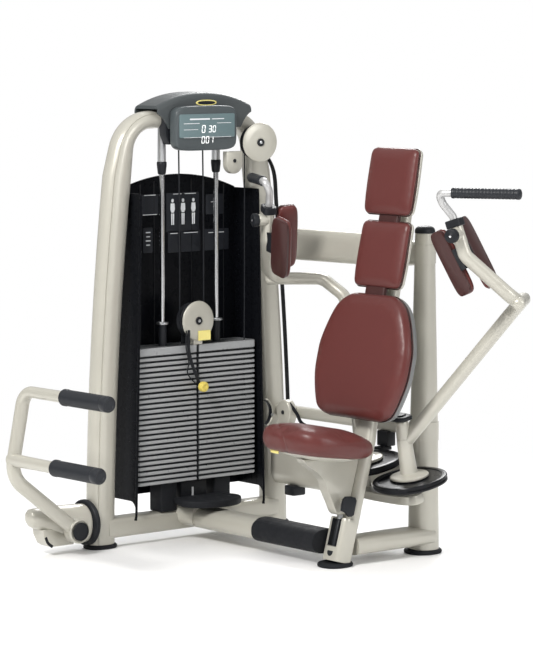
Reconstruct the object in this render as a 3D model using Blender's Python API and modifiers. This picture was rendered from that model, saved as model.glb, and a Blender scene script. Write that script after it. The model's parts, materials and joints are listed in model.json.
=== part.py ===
"""Seated chest-fly machine with a selectorised weight stack.

Metres, +Z up. The origin is the centre of the seat post's foot, on the floor. The user sits facing -Y,
+X is the user's left, and the weight tower stands at -X with its open side towards the seat.
"""

import math

import bmesh
import bpy
from mathutils import Matrix, Vector

# Driving dimensions
GAP = 0.0006  # clearance between pieces that rest on or pass through each other
TOWER_X = -0.75  # mid-plane of the two posts
TOWER_HALF = 0.372  # from the middle of the tower to a post's axis, at the floor
TOWER_TOP = 1.412  # axis of the arch at the middle
POST_W, POST_D = 0.098, 0.080  # section of a tower post along Y and X
FOOT_H = 0.014
BEAM_Y = 0.375  # the three beams from the tower to the rear column
STACK_FRONT, STACK_D = -0.697, 0.100
STACK_HALF = 0.251
STACK_BASE, PLATE_PITCH = 0.196, 0.0172
RESTING_PLATES, LIFTED_PLATES = 18, 7
TOP_PLATE_H = 0.026
ROD_X, ROD_Y, ROD_R = -0.742, 0.115, 0.0085
SHROUD_T = 0.005
BACK_LEAN = math.radians(15.6)  # of the seat post, along which the seat slides
POST_STATIONS = (-0.02, 0.40, 0.470)  # distances along the seat post, up to where the spine bends
SPINE_RUNS = ((0.400, 13.5), (0.235, 12.5), (0.110, 10.5))  # length and lean of each run of the spine above
SPINE_HALF_W = (0.043, 0.043, 0.034, 0.031, 0.028, 0.026)
SPINE_HALF_D = (0.022, 0.022, 0.020, 0.019, 0.018, 0.017)
SPINE_SET_BACK = 0.012  # of the post behind the axis of its deeper base
BASE_TOP, BASE_HALF_D = 0.140, 0.034  # height and half depth of that base
WEB_HALF = 0.021  # half thickness of the seat carriage's web, which slides in a channel of the base
SPRING_OUT = 0.021  # of the gas spring in front of the base's axis
SEAT_TRAVEL = 0.080
LEVER_HINGE = Vector((0.044, 0.012, 0.212))  # of the paddle that frees the seat
SEAT_Y, SEAT_HALF_W, SEAT_HALF_D = -0.074, 0.152, 0.158
SEAT_TILT = -0.14  # rise of the cushion for each metre towards the user's back
SEAT_RINGS = ((0.364, 0.80), (0.376, 0.94), (0.399, 1.0), (0.429, 0.98), (0.448, 0.88), (0.456, 0.66))
PIVOT_X, PIVOT_Y, PIVOT_Z = 0.105, 0.228, 0.2526  # where a pivot axis meets its cam
PIVOT_LEAN = math.radians(11.0)  # of the arm pivots, top towards the user
CAM_R, CAM_H = 0.116, 0.024
RIGHT_CAM_LIFT = 0.034  # the right cam runs above the left one
COLUMN_R, SHAFT_R, COLUMN_H = 0.024, 0.011, 0.211
ARM_ROOT = 0.138  # height on the pivot column at which the arm's tube leaves it
ARM_TUBE_R = 0.020
GRIP_R = 0.015
PAD_START, PAD_T = 0.030, 0.034  # forearm pads: distance from the bar's axis, and thickness
REAR_PAD_WIDTH, INNER_PAD_WIDTH = 0.078, 0.064
LEVER_PIVOT = Vector((-0.672, -0.525, 0.083))
LEVER_BAR_R, LEVER_GRIP_R = 0.019, 0.0255

# Colours
PAINT = (0.60, 0.585, 0.53)
BLACK = (0.015, 0.016, 0.018)
GREY = (0.11, 0.12, 0.125)
VINYL = (0.165, 0.055, 0.048)
STEEL = (0.62, 0.63, 0.64)
IRON = (0.20, 0.205, 0.21)
YELLOW = (0.80, 0.62, 0.08)
SCREEN = (0.25, 0.30, 0.31)

X, Y, Z = Vector((1, 0, 0)), Vector((0, 1, 0)), Vector((0, 0, 1))


def clear_scene():
    for obj in list(bpy.data.objects):
        bpy.data.objects.remove(obj)


def new_collection(name):
    collection = bpy.data.collections.new(name)
    bpy.context.scene.collection.children.link(collection)
    return collection


def material(name, colour, roughness, metallic=0.0):
    made = bpy.data.materials.new(name)
    made.use_nodes = True
    shader = made.node_tree.nodes["Principled BSDF"]
    shader.inputs["Base Color"].default_value = (*colour, 1.0)
    shader.inputs["Roughness"].default_value = roughness
    shader.inputs["Metallic"].default_value = metallic
    return made


def add_mesh(name, bm, finish, origin=(0, 0, 0)):
    """One object from a bmesh in world space, with its own origin."""
    origin = Vector(origin)
    bmesh.ops.translate(bm, verts=bm.verts, vec=-origin)
    bmesh.ops.recalc_face_normals(bm, faces=bm.faces)
    mesh = bpy.data.meshes.new(name)
    bm.to_mesh(mesh)
    bm.free()
    mesh.materials.append(finish)
    mesh.shade_smooth()
    mesh.set_sharp_from_angle(angle=math.radians(35))
    obj = bpy.data.objects.new(name, mesh)
    obj.location = origin
    PARTS.objects.link(obj)
    return obj


def bevel(obj, width, segments=1):
    modifier = obj.modifiers.new("edges", "BEVEL")
    modifier.width = width
    modifier.segments = segments
    modifier.limit_method = "ANGLE"
    modifier.angle_limit = math.radians(50)
    return obj


def boolean(obj, other, operation):
    """Cut other from obj, or weld it on, and keep other as a helper that is not a piece itself."""
    modifier = obj.modifiers.new(operation.lower(), "BOOLEAN")
    modifier.operation = operation
    modifier.object = other
    modifier.solver = "EXACT"
    PARTS.objects.unlink(other)
    HELPERS.objects.link(other)
    other.hide_render = True
    other.display_type = "WIRE"
    return obj


def cut(obj, *others):
    for other in others:
        boolean(obj, other, "DIFFERENCE")
    return obj


def weld(obj, *others):
    for other in others:
        boolean(obj, other, "UNION")
    return obj


def box(name, low, high, finish, edge=0.0):
    low, high = Vector(low), Vector(high)
    bm = bmesh.new()
    bmesh.ops.create_cube(bm, size=1.0)
    bmesh.ops.scale(bm, vec=high - low, verts=bm.verts)
    bmesh.ops.translate(bm, vec=(low + high) / 2, verts=bm.verts)
    obj = add_mesh(name, bm, finish, (low + high) / 2)
    return bevel(obj, edge) if edge else obj


def cylinder(name, start, end, radius, finish, sides=16, edge=0.0, end_radius=None):
    start, end = Vector(start), Vector(end)
    along = end - start
    turn = along.to_track_quat("Z", "Y").to_matrix().to_4x4()
    bm = bmesh.new()
    bmesh.ops.create_cone(
        bm,
        cap_ends=True,
        segments=sides,
        radius1=radius,
        radius2=radius if end_radius is None else end_radius,
        depth=along.length,
        matrix=Matrix.Translation((start + end) / 2) @ turn,
    )
    obj = add_mesh(name, bm, finish, start)
    return bevel(obj, edge) if edge else obj


def loft(name, rings, finish, origin=(0, 0, 0)):
    """A closed solid through rings of points, with a flat cap at each end."""
    bm = bmesh.new()
    rows = [[bm.verts.new(point) for point in ring] for ring in rings]
    for first, second in zip(rows, rows[1:]):
        for i in range(len(first)):
            j = (i + 1) % len(first)
            bm.faces.new((first[i], first[j], second[j], second[i]))
    bm.faces.new(rows[0])
    bm.faces.new(rows[-1])
    return add_mesh(name, bm, finish, origin)


def oval(centre, across, up, half_w, half_h, power=2.5, count=16):
    """Points of a superellipse: power 2 is an ellipse, and higher powers are boxier."""
    points = []
    for i in range(count):
        angle = 2 * math.pi * (i + 0.5) / count
        c, s = math.cos(angle), math.sin(angle)
        a = math.copysign(abs(c) ** (2 / power), c)
        b = math.copysign(abs(s) ** (2 / power), s)
        points.append(Vector(centre) + across * half_w * a + up * half_h * b)
    return points


def sweep(name, path, side, half_side, half_other, finish, power=2.5, count=16, origin=(0, 0, 0)):
    """A tube of oval section along a path. half_side starts out along side and turns with the path."""
    path = [Vector(point) for point in path]
    rings = []
    across = side
    for i, point in enumerate(path):
        before, after = path[max(i - 1, 0)], path[min(i + 1, len(path) - 1)]
        along = (after - before).normalized()
        across = square_to(across, along)
        other = along.cross(across)
        w = half_side[i] if isinstance(half_side, list) else half_side
        h = half_other[i] if isinstance(half_other, list) else half_other
        rings.append(oval(point, across, other, w, h, power, count))
    return loft(name, rings, finish, origin)


def rounded(points, radius, steps=5):
    """The path through points with each inner corner replaced by an arc."""
    points = [Vector(point) for point in points]
    path = [points[0]]
    for before, corner, after in zip(points, points[1:], points[2:]):
        a, b = (before - corner).normalized(), (after - corner).normalized()
        half = a.angle(b) / 2
        reach = min(radius / math.tan(half), (before - corner).length / 2, (after - corner).length / 2)
        centre = corner + (a + b).normalized() * (reach / math.cos(half))
        first, last = corner + a * reach - centre, corner + b * reach - centre
        for i in range(steps + 1):
            path.append(centre + first.slerp(last, i / steps).normalized() * first.length)
    path.append(points[-1])
    return path


def slab(name, outline, origin, across, up, thickness, finish, edge=0.0):
    """A flat outline in the plane of across and up, made thick along their cross product."""
    normal = across.cross(up).normalized()
    rings = []
    for offset in (0.0, thickness):
        rings.append([Vector(origin) + across * u + up * v + normal * offset for u, v in outline])
    obj = loft(name, rings, finish, origin)
    return bevel(obj, edge, 2) if edge else obj


def level_off(obj, low_z):
    """Cut obj flat at a height, so that a leaning piece stands square on its foot."""
    return cut(obj, box(obj.name + "_floor", (-1.2, -1.2, low_z - 0.2), (1.2, 1.2, low_z), CREAM))


def mirrored(point):
    return Vector((-point[0], point[1], point[2]))


def square_to(vector, axis):
    """The unit vector nearest to vector that is square to axis."""
    return (vector - vector.dot(axis) * axis).normalized()


def lean(angle):
    """Unit vector that leans back (towards +Y) by the angle from vertical."""
    return Vector((0, math.sin(angle), math.cos(angle)))


# ---------------------------------------------------------------- weight tower


def post_offset(z):
    """Distance of a tower post's axis from the tower's middle: upright at the floor, leaning in above."""
    return TOWER_HALF - 0.006 * z - 0.046 * z * z


def tower_frame():
    heights = [0.0, 0.25, 0.55, 0.85, 1.10, 1.22]
    right = [(TOWER_X, post_offset(z), z) for z in heights]
    shoulder = (TOWER_X, 0.262, TOWER_TOP - 0.014)
    middle = (TOWER_X, 0.0, TOWER_TOP)
    path = right[:-1] + [tuple(p) for p in rounded([right[-1], shoulder, middle], 0.12, 6)]
    path += [(x, -y, z) for x, y, z in reversed(path[:-1])]
    half_wide = [POST_W / 2 - 0.020 * max(0.0, min(1.0, (z - 1.22) / 0.19)) for _, _, z in path]
    arch = sweep("tower_frame", path, X, POST_D / 2, half_wide, CREAM, 2.2)
    level_off(arch, FOOT_H + GAP)
    low, high = (TOWER_X - 0.028, -0.36, 0.032), (TOWER_X + 0.040, 0.36, 0.098)
    base_beam = box("tower_base_beam", low, high, CREAM, 0.010)
    return weld(arch, base_beam)


def foot(name, centre, half_x, half_y, finish):
    rings = [
        oval((centre[0], centre[1], z), X, Y, half_x * s, half_y * s, 2.3, 20)
        for z, s in ((0.0, 0.93), (FOOT_H * 0.4, 1.0), (FOOT_H, 0.97))
    ]
    return loft(name, rings, finish)


def shroud():
    """The dark guard round the stack: a back panel with an arched top and two side walls with a tab each."""
    back_x, front_x = STACK_FRONT - STACK_D - 0.016, STACK_FRONT + 0.018
    bottom, top, rise = 0.150, 1.165, 0.052
    wide, narrow = 0.279, 0.250

    def half_width(z):
        return wide + (narrow - wide) * z / 1.2

    steps = 12
    arch = []
    for i in range(steps + 1):
        t = 1 - 2 * i / steps
        arch.append((t * half_width(top), top + rise * (1 - t * t)))
    outline = [(-half_width(bottom), bottom), (half_width(bottom), bottom)] + arch
    panel = slab("stack_shroud", outline, (back_x - SHROUD_T, 0, 0), Y, Z, SHROUD_T, BLACK_PLASTIC)
    depth = front_x - back_x + 0.003
    corner = [
        (depth - 0.030 + 0.030 * math.sin(a), bottom - 0.045 + 0.045 * math.cos(a))
        for a in [i * math.pi / 2 / 5 for i in range(5)]
    ]
    side = [(0, bottom)] + corner + [(depth - 0.010, 0.088), (depth, 0.088), (depth, top), (0, top)]
    for sign in (-1, 1):
        low_y, high_y = sign * half_width(0.088), sign * half_width(top)
        rings = []
        for offset in (0.0, -sign * SHROUD_T):
            ring = []
            for u, v in side:
                y = low_y + (high_y - low_y) * (v - 0.088) / (top - 0.088)
                ring.append(Vector((back_x - 0.003 + u, y + offset, v)))
            rings.append(ring)
        weld(panel, loft(f"shroud_side_{sign}", rings, BLACK_PLASTIC))
    return panel


def cowl():
    """The dark cap over the arch. It is hollow below, and stands clear of the arch all round."""
    rings = []
    steps = 10
    for i in range(steps + 1):
        t = -1 + 2 * i / steps
        top = 1.492 - 0.042 * abs(t) ** 2.2
        y = 0.214 * t
        under = top - 0.014
        x0, x1 = TOWER_X - 0.066, TOWER_X + 0.062
        inner0, inner1 = x0 + 0.010, x1 - 0.010
        skirt = 1.374 + 0.044 * max(0.0, (abs(t) - 0.72) / 0.28) ** 2  # rises at the ends to show the arch
        rings.append(
            [
                Vector((x0, y, skirt)),
                Vector((inner0, y, skirt)),
                Vector((inner0, y, under - 0.004)),
                Vector((inner1, y, under - 0.004)),
                Vector((inner1, y, skirt)),
                Vector((x1, y, skirt)),
                Vector((x1, y, top - 0.022)),
                Vector((x1 - 0.018, y, top)),
                Vector((x0 + 0.018, y, top)),
                Vector((x0, y, top - 0.022)),
            ]
        )
    return loft("top_cowl", rings, GREY_PLASTIC)


def console():
    x0 = TOWER_X + 0.062 + GAP
    depth, middle_z = 0.036, 1.375
    outline = oval((0, 0, 0), X, Y, 0.130, 0.074, 6, 24)
    shape = [(p.x, p.y) for p in outline]
    slab("display_console", shape, (x0, 0.004, middle_z), Y, Z, depth, GREY_PLASTIC, 0.006)
    lens = [(p.x * 0.88, p.y * 0.50 - 0.010) for p in outline]
    slab("display_lens", lens, (x0 + depth + GAP, 0.004, middle_z), Y, Z, 0.003, LCD)


def guide_rod(name, y):
    """A polished rod with a sleeve and a dark bush at the top end."""
    profile = [
        (0.112, ROD_R),
        (1.225, ROD_R),
        (1.2255, 0.014),
        (1.262, 0.016),
        (1.2625, 0.013),
        (1.338, 0.013),
    ]
    rings = [oval((ROD_X, y, z), X, Y, r, r, 2, 14) for z, r in profile]
    return loft(name, rings, CHROME)


def rod_holes(low, high):
    """Cutters that leave clearance round both guide rods."""
    holes = []
    for sign in (-1, 1):
        start, end = (ROD_X, sign * ROD_Y, low), (ROD_X, sign * ROD_Y, high)
        holes.append(cylinder(f"rod_hole_{sign}", start, end, ROD_R + 0.0022, CHROME, 14))
    return holes


def plate_block(name, base, count, top_plate):
    """A pile of plates whose edges show as separate, held in one solid by a core behind the edges."""
    groove, slit = 0.007, PLATE_PITCH * 0.22
    front, back = STACK_FRONT, STACK_FRONT - STACK_D
    outline = [(back, base)]
    z = base
    for _ in range(count):
        outline += [(front, z), (front, z + PLATE_PITCH - slit), (front - groove, z + PLATE_PITCH - slit)]
        z += PLATE_PITCH
        outline.append((front - groove, z))
    if top_plate:
        outline += [(front, z), (front, z + TOP_PLATE_H)]
        z += TOP_PLATE_H
    outline.append((back, z))
    shape = [(-x, v) for x, v in outline]
    block = slab(name, shape, (0, -STACK_HALF, 0), -X, Z, 2 * STACK_HALF, PLATE_IRON)
    low, high = (front - 0.010, -0.0065, base - 0.01), (front + 0.01, 0.0065, z + 0.01)
    slot = box(name + "_slot", low, high, PLATE_IRON)
    return cut(block, slot, *rod_holes(base - 0.02, z + 0.02)), z


def weight_stack():
    _, top = plate_block("stack_resting", STACK_BASE, RESTING_PLATES, False)
    lifted, lifted_top = plate_block("stack_lifted", top + GAP, LIFTED_PLATES, True)
    for sign in (-1, 1):
        collar = cylinder(
            f"guide_bush_{sign}",
            (ROD_X, sign * ROD_Y, lifted_top - 0.004),
            (ROD_X, sign * ROD_Y, lifted_top + 0.082),
            0.0145,
            BLACK_PLASTIC,
            14,
        )
        weld(lifted, collar)
    cut(lifted, *rod_holes(top - 0.02, lifted_top + 0.12))
    pin_z = top + PLATE_PITCH * 0.42
    bore_start, bore_end = (STACK_FRONT - 0.07, 0, pin_z), (STACK_FRONT + 0.02, 0, pin_z)
    cut(lifted, cylinder("pin_bore", bore_start, bore_end, 0.0052, STEEL_METAL, 12))
    pin_start, pin_end = (STACK_FRONT - 0.055, 0, pin_z), (STACK_FRONT + 0.022, 0, pin_z)
    pin = cylinder("selector_pin", pin_start, pin_end, 0.0042, STEEL_METAL, 12)
    knob_start, knob_end = (STACK_FRONT + 0.020, 0, pin_z), (STACK_FRONT + 0.040, 0, pin_z)
    weld(pin, cylinder("pin_knob", knob_start, knob_end, 0.0175, YELLOW_PLASTIC, 16, 0.003))
    for sign, name in ((-1, "stack_buffer_front"), (1, "stack_buffer_rear")):
        low = (ROD_X - 0.030, sign * ROD_Y - 0.034, 0.098 + GAP)
        high = (ROD_X + 0.034, sign * ROD_Y + 0.034, STACK_BASE - GAP)
        buffer = box(name, low, high, BLACK_RUBBER, 0.004)
        hole_start, hole_end = (ROD_X, sign * ROD_Y, 0.05), (ROD_X, sign * ROD_Y, 0.3)
        hole = cylinder(name + "_hole", hole_start, hole_end, ROD_R + 0.0012, CHROME, 14)
        cut(buffer, hole)
    return lifted_top


def stack_pulley(base_z):
    """The wheel that rides on top of the stack, between a round cover in front and a bracket behind."""
    centre = Vector((STACK_FRONT - 0.030, -0.002, base_z + 0.080))
    lug_low = (centre.x + 0.014, -0.020, base_z + GAP)
    lug_high = (centre.x + 0.034, 0.018, base_z + 0.030)
    cover = cylinder("stack_pulley_cover", centre + X * 0.030, centre + X * 0.037, 0.066, CREAM, 28, 0.002)
    weld(cover, box("pulley_lug", lug_low, lug_high, CREAM))
    weld(cover, cylinder("pulley_axle", centre - X * 0.022, centre + X * 0.042, 0.008, STEEL_METAL, 14))
    start, end = centre - X * 0.016, centre + X * 0.010
    wheel = cylinder("stack_pulley_wheel", start, end, 0.057, BLACK_PLASTIC, 28, 0.003)
    bore_wheel(wheel, centre, 0.0092)


def bore_wheel(wheel, centre, radius, axis=X):
    """Bore a wheel through its centre."""
    start, end = Vector(centre) - axis * 0.05, Vector(centre) + axis * 0.05
    return cut(wheel, cylinder(wheel.name + "_bore", start, end, radius, STEEL_METAL, 14))


def top_pulleys():
    axis = Matrix.Rotation(math.radians(-9), 3, "Z") @ X
    centre = Vector((TOWER_X + 0.080, 0.232, 1.322))
    start, end = centre + axis * 0.020, centre + axis * 0.028
    cover = cylinder("upper_pulley_cover", start, end, 0.066, CREAM, 28, 0.002)
    start, end = centre - axis * 0.046, centre + axis * 0.033
    weld(cover, cylinder("upper_pulley_axle", start, end, 0.008, STEEL_METAL, 14))
    start, end = centre - axis * 0.012, centre + axis * 0.014
    wheel = cylinder("upper_pulley_wheel", start, end, 0.058, BLACK_PLASTIC, 28, 0.003)
    bore_wheel(wheel, centre, 0.0092, axis)
    idler = Vector((TOWER_X + 0.070, 0.128, 1.261))
    half_shield = [(0.034, 0.0334), (0.034, -0.006), (0.020, -0.032)]
    shield = [(-y, z) for y, z in half_shield] + [(0.0, -0.042)] + list(reversed(half_shield))
    slab("idler_cover", shield, idler, Y, Z, 0.022, CREAM, 0.003)


def floor_frame():
    start, end = TOWER_X + 0.040 + GAP, -0.0445
    for name, x0, x1, grow, finish in (
        ("floor_beam", start, end, 0.0, CREAM),
        ("floor_beam_mat", -0.357, end - 0.0015, 0.004, BLACK_RUBBER),
    ):
        rings = [oval((x, 0, 0.074), Y, Z, 0.058 + grow, 0.036 + grow, 3.5, 20) for x in (x0, x1)]
        obj = loft(name, rings, finish)
        if grow:
            ends = (x0 - 0.02, x1 + 0.02)
            hollow = [oval((x, 0, 0.074), Y, Z, 0.058 + GAP, 0.036 + GAP, 3.5, 20) for x in ends]
            cut(obj, loft("mat_hollow", hollow, finish))
    half_step = [(0.0, -0.080), (0.075, -0.118), (0.120, -0.100)]
    outline = half_step + [(0.160, 0.0)] + [(x, -y) for x, y in reversed(half_step)]
    slab("step_plate", outline, (start + 0.002, 0.0, 0.122), X, Y, 0.022, BLACK_RUBBER, 0.005)


# ---------------------------------------------------------------- seat column and rear frame


def post_point(station, out=0.0):
    """A point on the leaning axis of the seat post's base, or in front of it by out."""
    up = lean(BACK_LEAN)
    return Vector((0, 0.004, FOOT_H)) + up * station + X.cross(up) * out


def spine_path():
    """Axis of the seat post and of the spine behind the backrest, which grows more upright as it rises."""
    path = [post_point(station, -SPINE_SET_BACK) for station in POST_STATIONS]
    for length, degrees in SPINE_RUNS:
        path.append(path[-1] + lean(math.radians(degrees)) * length)
    return path


def spine_sweep(name, grow):
    """The seat post and spine, grown all round: a copy with clearance cuts the pieces it passes through."""
    half_w = [half + grow for half in SPINE_HALF_W]
    half_d = [half + grow for half in SPINE_HALF_D]
    return sweep(name, spine_path(), X, half_w, half_d, CREAM, 3)


def seat_post():
    up = lean(BACK_LEAN)
    post = spine_sweep("seat_post", 0.0)
    base_path = [post_point(-0.02), post_point(BASE_TOP)]
    weld(post, sweep("post_base", base_path, X, 0.043, BASE_HALF_D, CREAM, 3.5))
    level_off(post, FOOT_H + GAP)
    channel_floor, channel_half_d = 0.0085, 0.0225
    channel_out = channel_floor + channel_half_d
    channel_path = [post_point(0.045, channel_out), post_point(BASE_TOP + 0.02, channel_out)]
    cut(post, sweep("base_channel", channel_path, X, WEB_HALF + 0.001, channel_half_d, CREAM, 30, 8))
    foot("seat_post_foot", (0, 0, 0), 0.052, 0.058, BLACK_RUBBER)
    low, high = post_point(0.045 + GAP, SPRING_OUT), post_point(BASE_TOP - 0.004, SPRING_OUT)
    tube = cylinder("gas_spring_tube", low, high, 0.0095, BLACK_PLASTIC, 14)
    cut(tube, cylinder("gas_spring_bore", low + up * 0.004, high + up * 0.02, 0.0066, BLACK_PLASTIC, 14))
    return post


def column_loft(name, grow):
    rings = []
    for z, half in ((FOOT_H + GAP, 0.049), (0.40, 0.045), (0.80, 0.036), (1.045, 0.031)):
        rings.append(oval((0, BEAM_Y + 0.008, z), X, Y, half + grow, half * 0.95 + grow, 2.4, 20))
    return loft(name, rings, CREAM)


def rear_frame():
    column = column_loft("rear_column", 0.0)
    rings = []
    for z, half in ((1.045 + GAP, 0.032), (1.060, 0.031), (1.070, 0.022)):
        rings.append(oval((0, BEAM_Y + 0.008, z), X, Y, half, half, 2.2, 20))
    loft("rear_column_cap", rings, BLACK_PLASTIC)
    foot("rear_column_foot", (0, BEAM_Y + 0.006, 0), 0.058, 0.062, BLACK_RUBBER)
    rings = []
    for y, z, half_h in ((0.072, 0.060, 0.026), (BEAM_Y - 0.020, 0.056, 0.024)):
        rings.append(oval((0, y, z), X, Z, 0.047, half_h, 4, 20))
    weld(column, loft("seat_base_beam", rings, CREAM))
    for name, centre_z, half_h, half_d, end_half in (
        ("upper_beam", 0.978, 0.053, 0.026, 0.034),
        ("middle_beam", 0.402, 0.020, 0.018, 0.018),
        ("lower_beam", 0.225, 0.078, 0.036, 0.070),
    ):
        post_y = post_offset(centre_z)
        first, last = TOWER_X + POST_D / 2 - 0.004, -0.008
        xs = [first + (last - first) * t for t in (0.0, 0.25, 0.5, 0.75, 1.0)]
        rings = []
        for i, x in enumerate(xs):
            t = i / 4
            y = post_y + 0.004 + (BEAM_Y + 0.006 - post_y) * min(1.0, t * 1.6)
            height = half_h + (end_half - half_h) * max(0.0, (t - 0.75) / 0.25)
            rings.append(oval((x, y, centre_z), Y, Z, half_d, height, 3, 16))
        beam = loft(name, rings, CREAM)
        guard = sweep(
            name + "_clear_post",
            [(TOWER_X, post_offset(z), z) for z in (centre_z - 0.15, centre_z, centre_z + 0.15)],
            X,
            POST_D / 2 + GAP,
            POST_W / 2 + GAP,
            CREAM,
            2.2,
        )
        cut(beam, guard, column_loft(name + "_clear_column", GAP))


def belt_pulley():
    """Cover of the pulley that turns the belt from the tower towards the cams."""
    centre = Vector((-0.630, 0.366, 0.400))
    outline = oval((0, 0, 0), X, Y, 0.036, 0.046, 2.2, 18)
    slab("belt_pulley_cover", [(p.x, p.y) for p in outline], centre - Y * 0.017, X, Z, 0.033, CREAM, 0.003)


def backrest(post):
    """Three pads in front of the spine. Each has its own lean, and is held by a bracket on the spine."""
    lower = [(0.0, 0.140), (0.03, 0.180), (0.12, 0.209), (0.19, 0.214), (0.25, 0.208)]
    lower += [(0.34, 0.172), (0.405, 0.095)]
    upper = [(0.0, 0.106), (0.012, 0.115), (0.208, 0.115), (0.220, 0.106)]
    pads = (
        ("lower_back_pad", (0.046, 0.474), 13.5, lower, 0.066, 0.20),
        ("upper_back_pad", (0.156, 0.882), 12.5, upper, 0.044, 0.11),
        ("head_pad", (0.200, 1.112), 10.5, upper, 0.044, 0.070),
    )
    for name, (base_y, base_z), degrees, half_widths, thickness, bracket_height in pads:
        up = lean(math.radians(degrees))
        out = X.cross(up)  # towards the user
        base = Vector((0, base_y, base_z))
        outline = [(w, v) for v, w in half_widths] + [(-w, v) for v, w in reversed(half_widths)]
        pad = slab(name, outline, base - out * thickness, X, up, thickness, BURGUNDY)
        bevel(pad, 0.012, 2)
        back = base + up * bracket_height - out * (thickness + GAP)
        path = spine_path()
        run_end = next(i for i in range(1, len(path)) if path[i].z > back.z)
        share = (back.z - path[run_end - 1].z) / (path[run_end].z - path[run_end - 1].z)
        on_spine = path[run_end - 1].lerp(path[run_end], share)
        rings = [oval(back.lerp(on_spine, t), X, up, 0.022, 0.040, 5, 8) for t in (0.0, 0.75)]
        weld(post, loft(name + "_bracket", rings, CREAM))


# ---------------------------------------------------------------- seat that slides on the post


def seat_ring(z, scale, count):
    """An outline of the cushion at a height, tilted so that its front stands higher."""
    ring = oval((0, SEAT_Y, z), X, Y, SEAT_HALF_W * scale, SEAT_HALF_D * scale, 3.2, count)
    return [p + Z * SEAT_TILT * (p.y - SEAT_Y) for p in ring]


def seat():
    loft("seat_cushion", [seat_ring(z, scale, 24) for z, scale in SEAT_RINGS], BURGUNDY)
    pan_sections = ((0.352, 0.50), (0.358, 0.66))
    pan = loft("seat_carriage", [seat_ring(z - GAP, scale, 20) for z, scale in pan_sections], CREAM)
    web = [(-0.150, 0.358), (-0.138, 0.343), (-0.095, 0.314), (-0.0605, 0.281), (-0.0475, 0.247)]
    web += [(-0.0257, 0.205), (-0.012, 0.176), (-0.002, 0.167), (0.060, 0.162), (0.090, 0.343)]
    weld(pan, slab("seat_web", web, (-WEB_HALF, 0, 0), Y, Z, 2 * WEB_HALF, CREAM))
    boss_start = (WEB_HALF - 0.005, LEVER_HINGE.y, LEVER_HINGE.z)
    weld(pan, cylinder("lever_boss_pin", boss_start, LEVER_HINGE, 0.009, CREAM, 14))
    cut(pan, spine_sweep("carriage_guard", 0.0012))
    pocket_top = BASE_TOP + SEAT_TRAVEL + 0.010
    rod_low, rod_high = post_point(BASE_TOP - 0.010, SPRING_OUT), post_point(pocket_top + 0.012, SPRING_OUT)
    cut(pan, cylinder("spring_pocket", rod_low, post_point(pocket_top, SPRING_OUT), 0.0112, CREAM, 14))
    cut(pan, cylinder("spring_socket", rod_low, rod_high, 0.0064, CREAM, 14))
    cylinder("gas_spring_rod", rod_low, rod_high - lean(BACK_LEAN) * GAP, 0.0056, CHROME, 14)


# ---------------------------------------------------------------- swinging arms


def pivot_frame(sign):
    """Foot and direction of an arm's pivot axis. The top leans towards the user."""
    axis = lean(-PIVOT_LEAN)
    return Vector((sign * PIVOT_X, PIVOT_Y, PIVOT_Z)), axis


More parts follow.
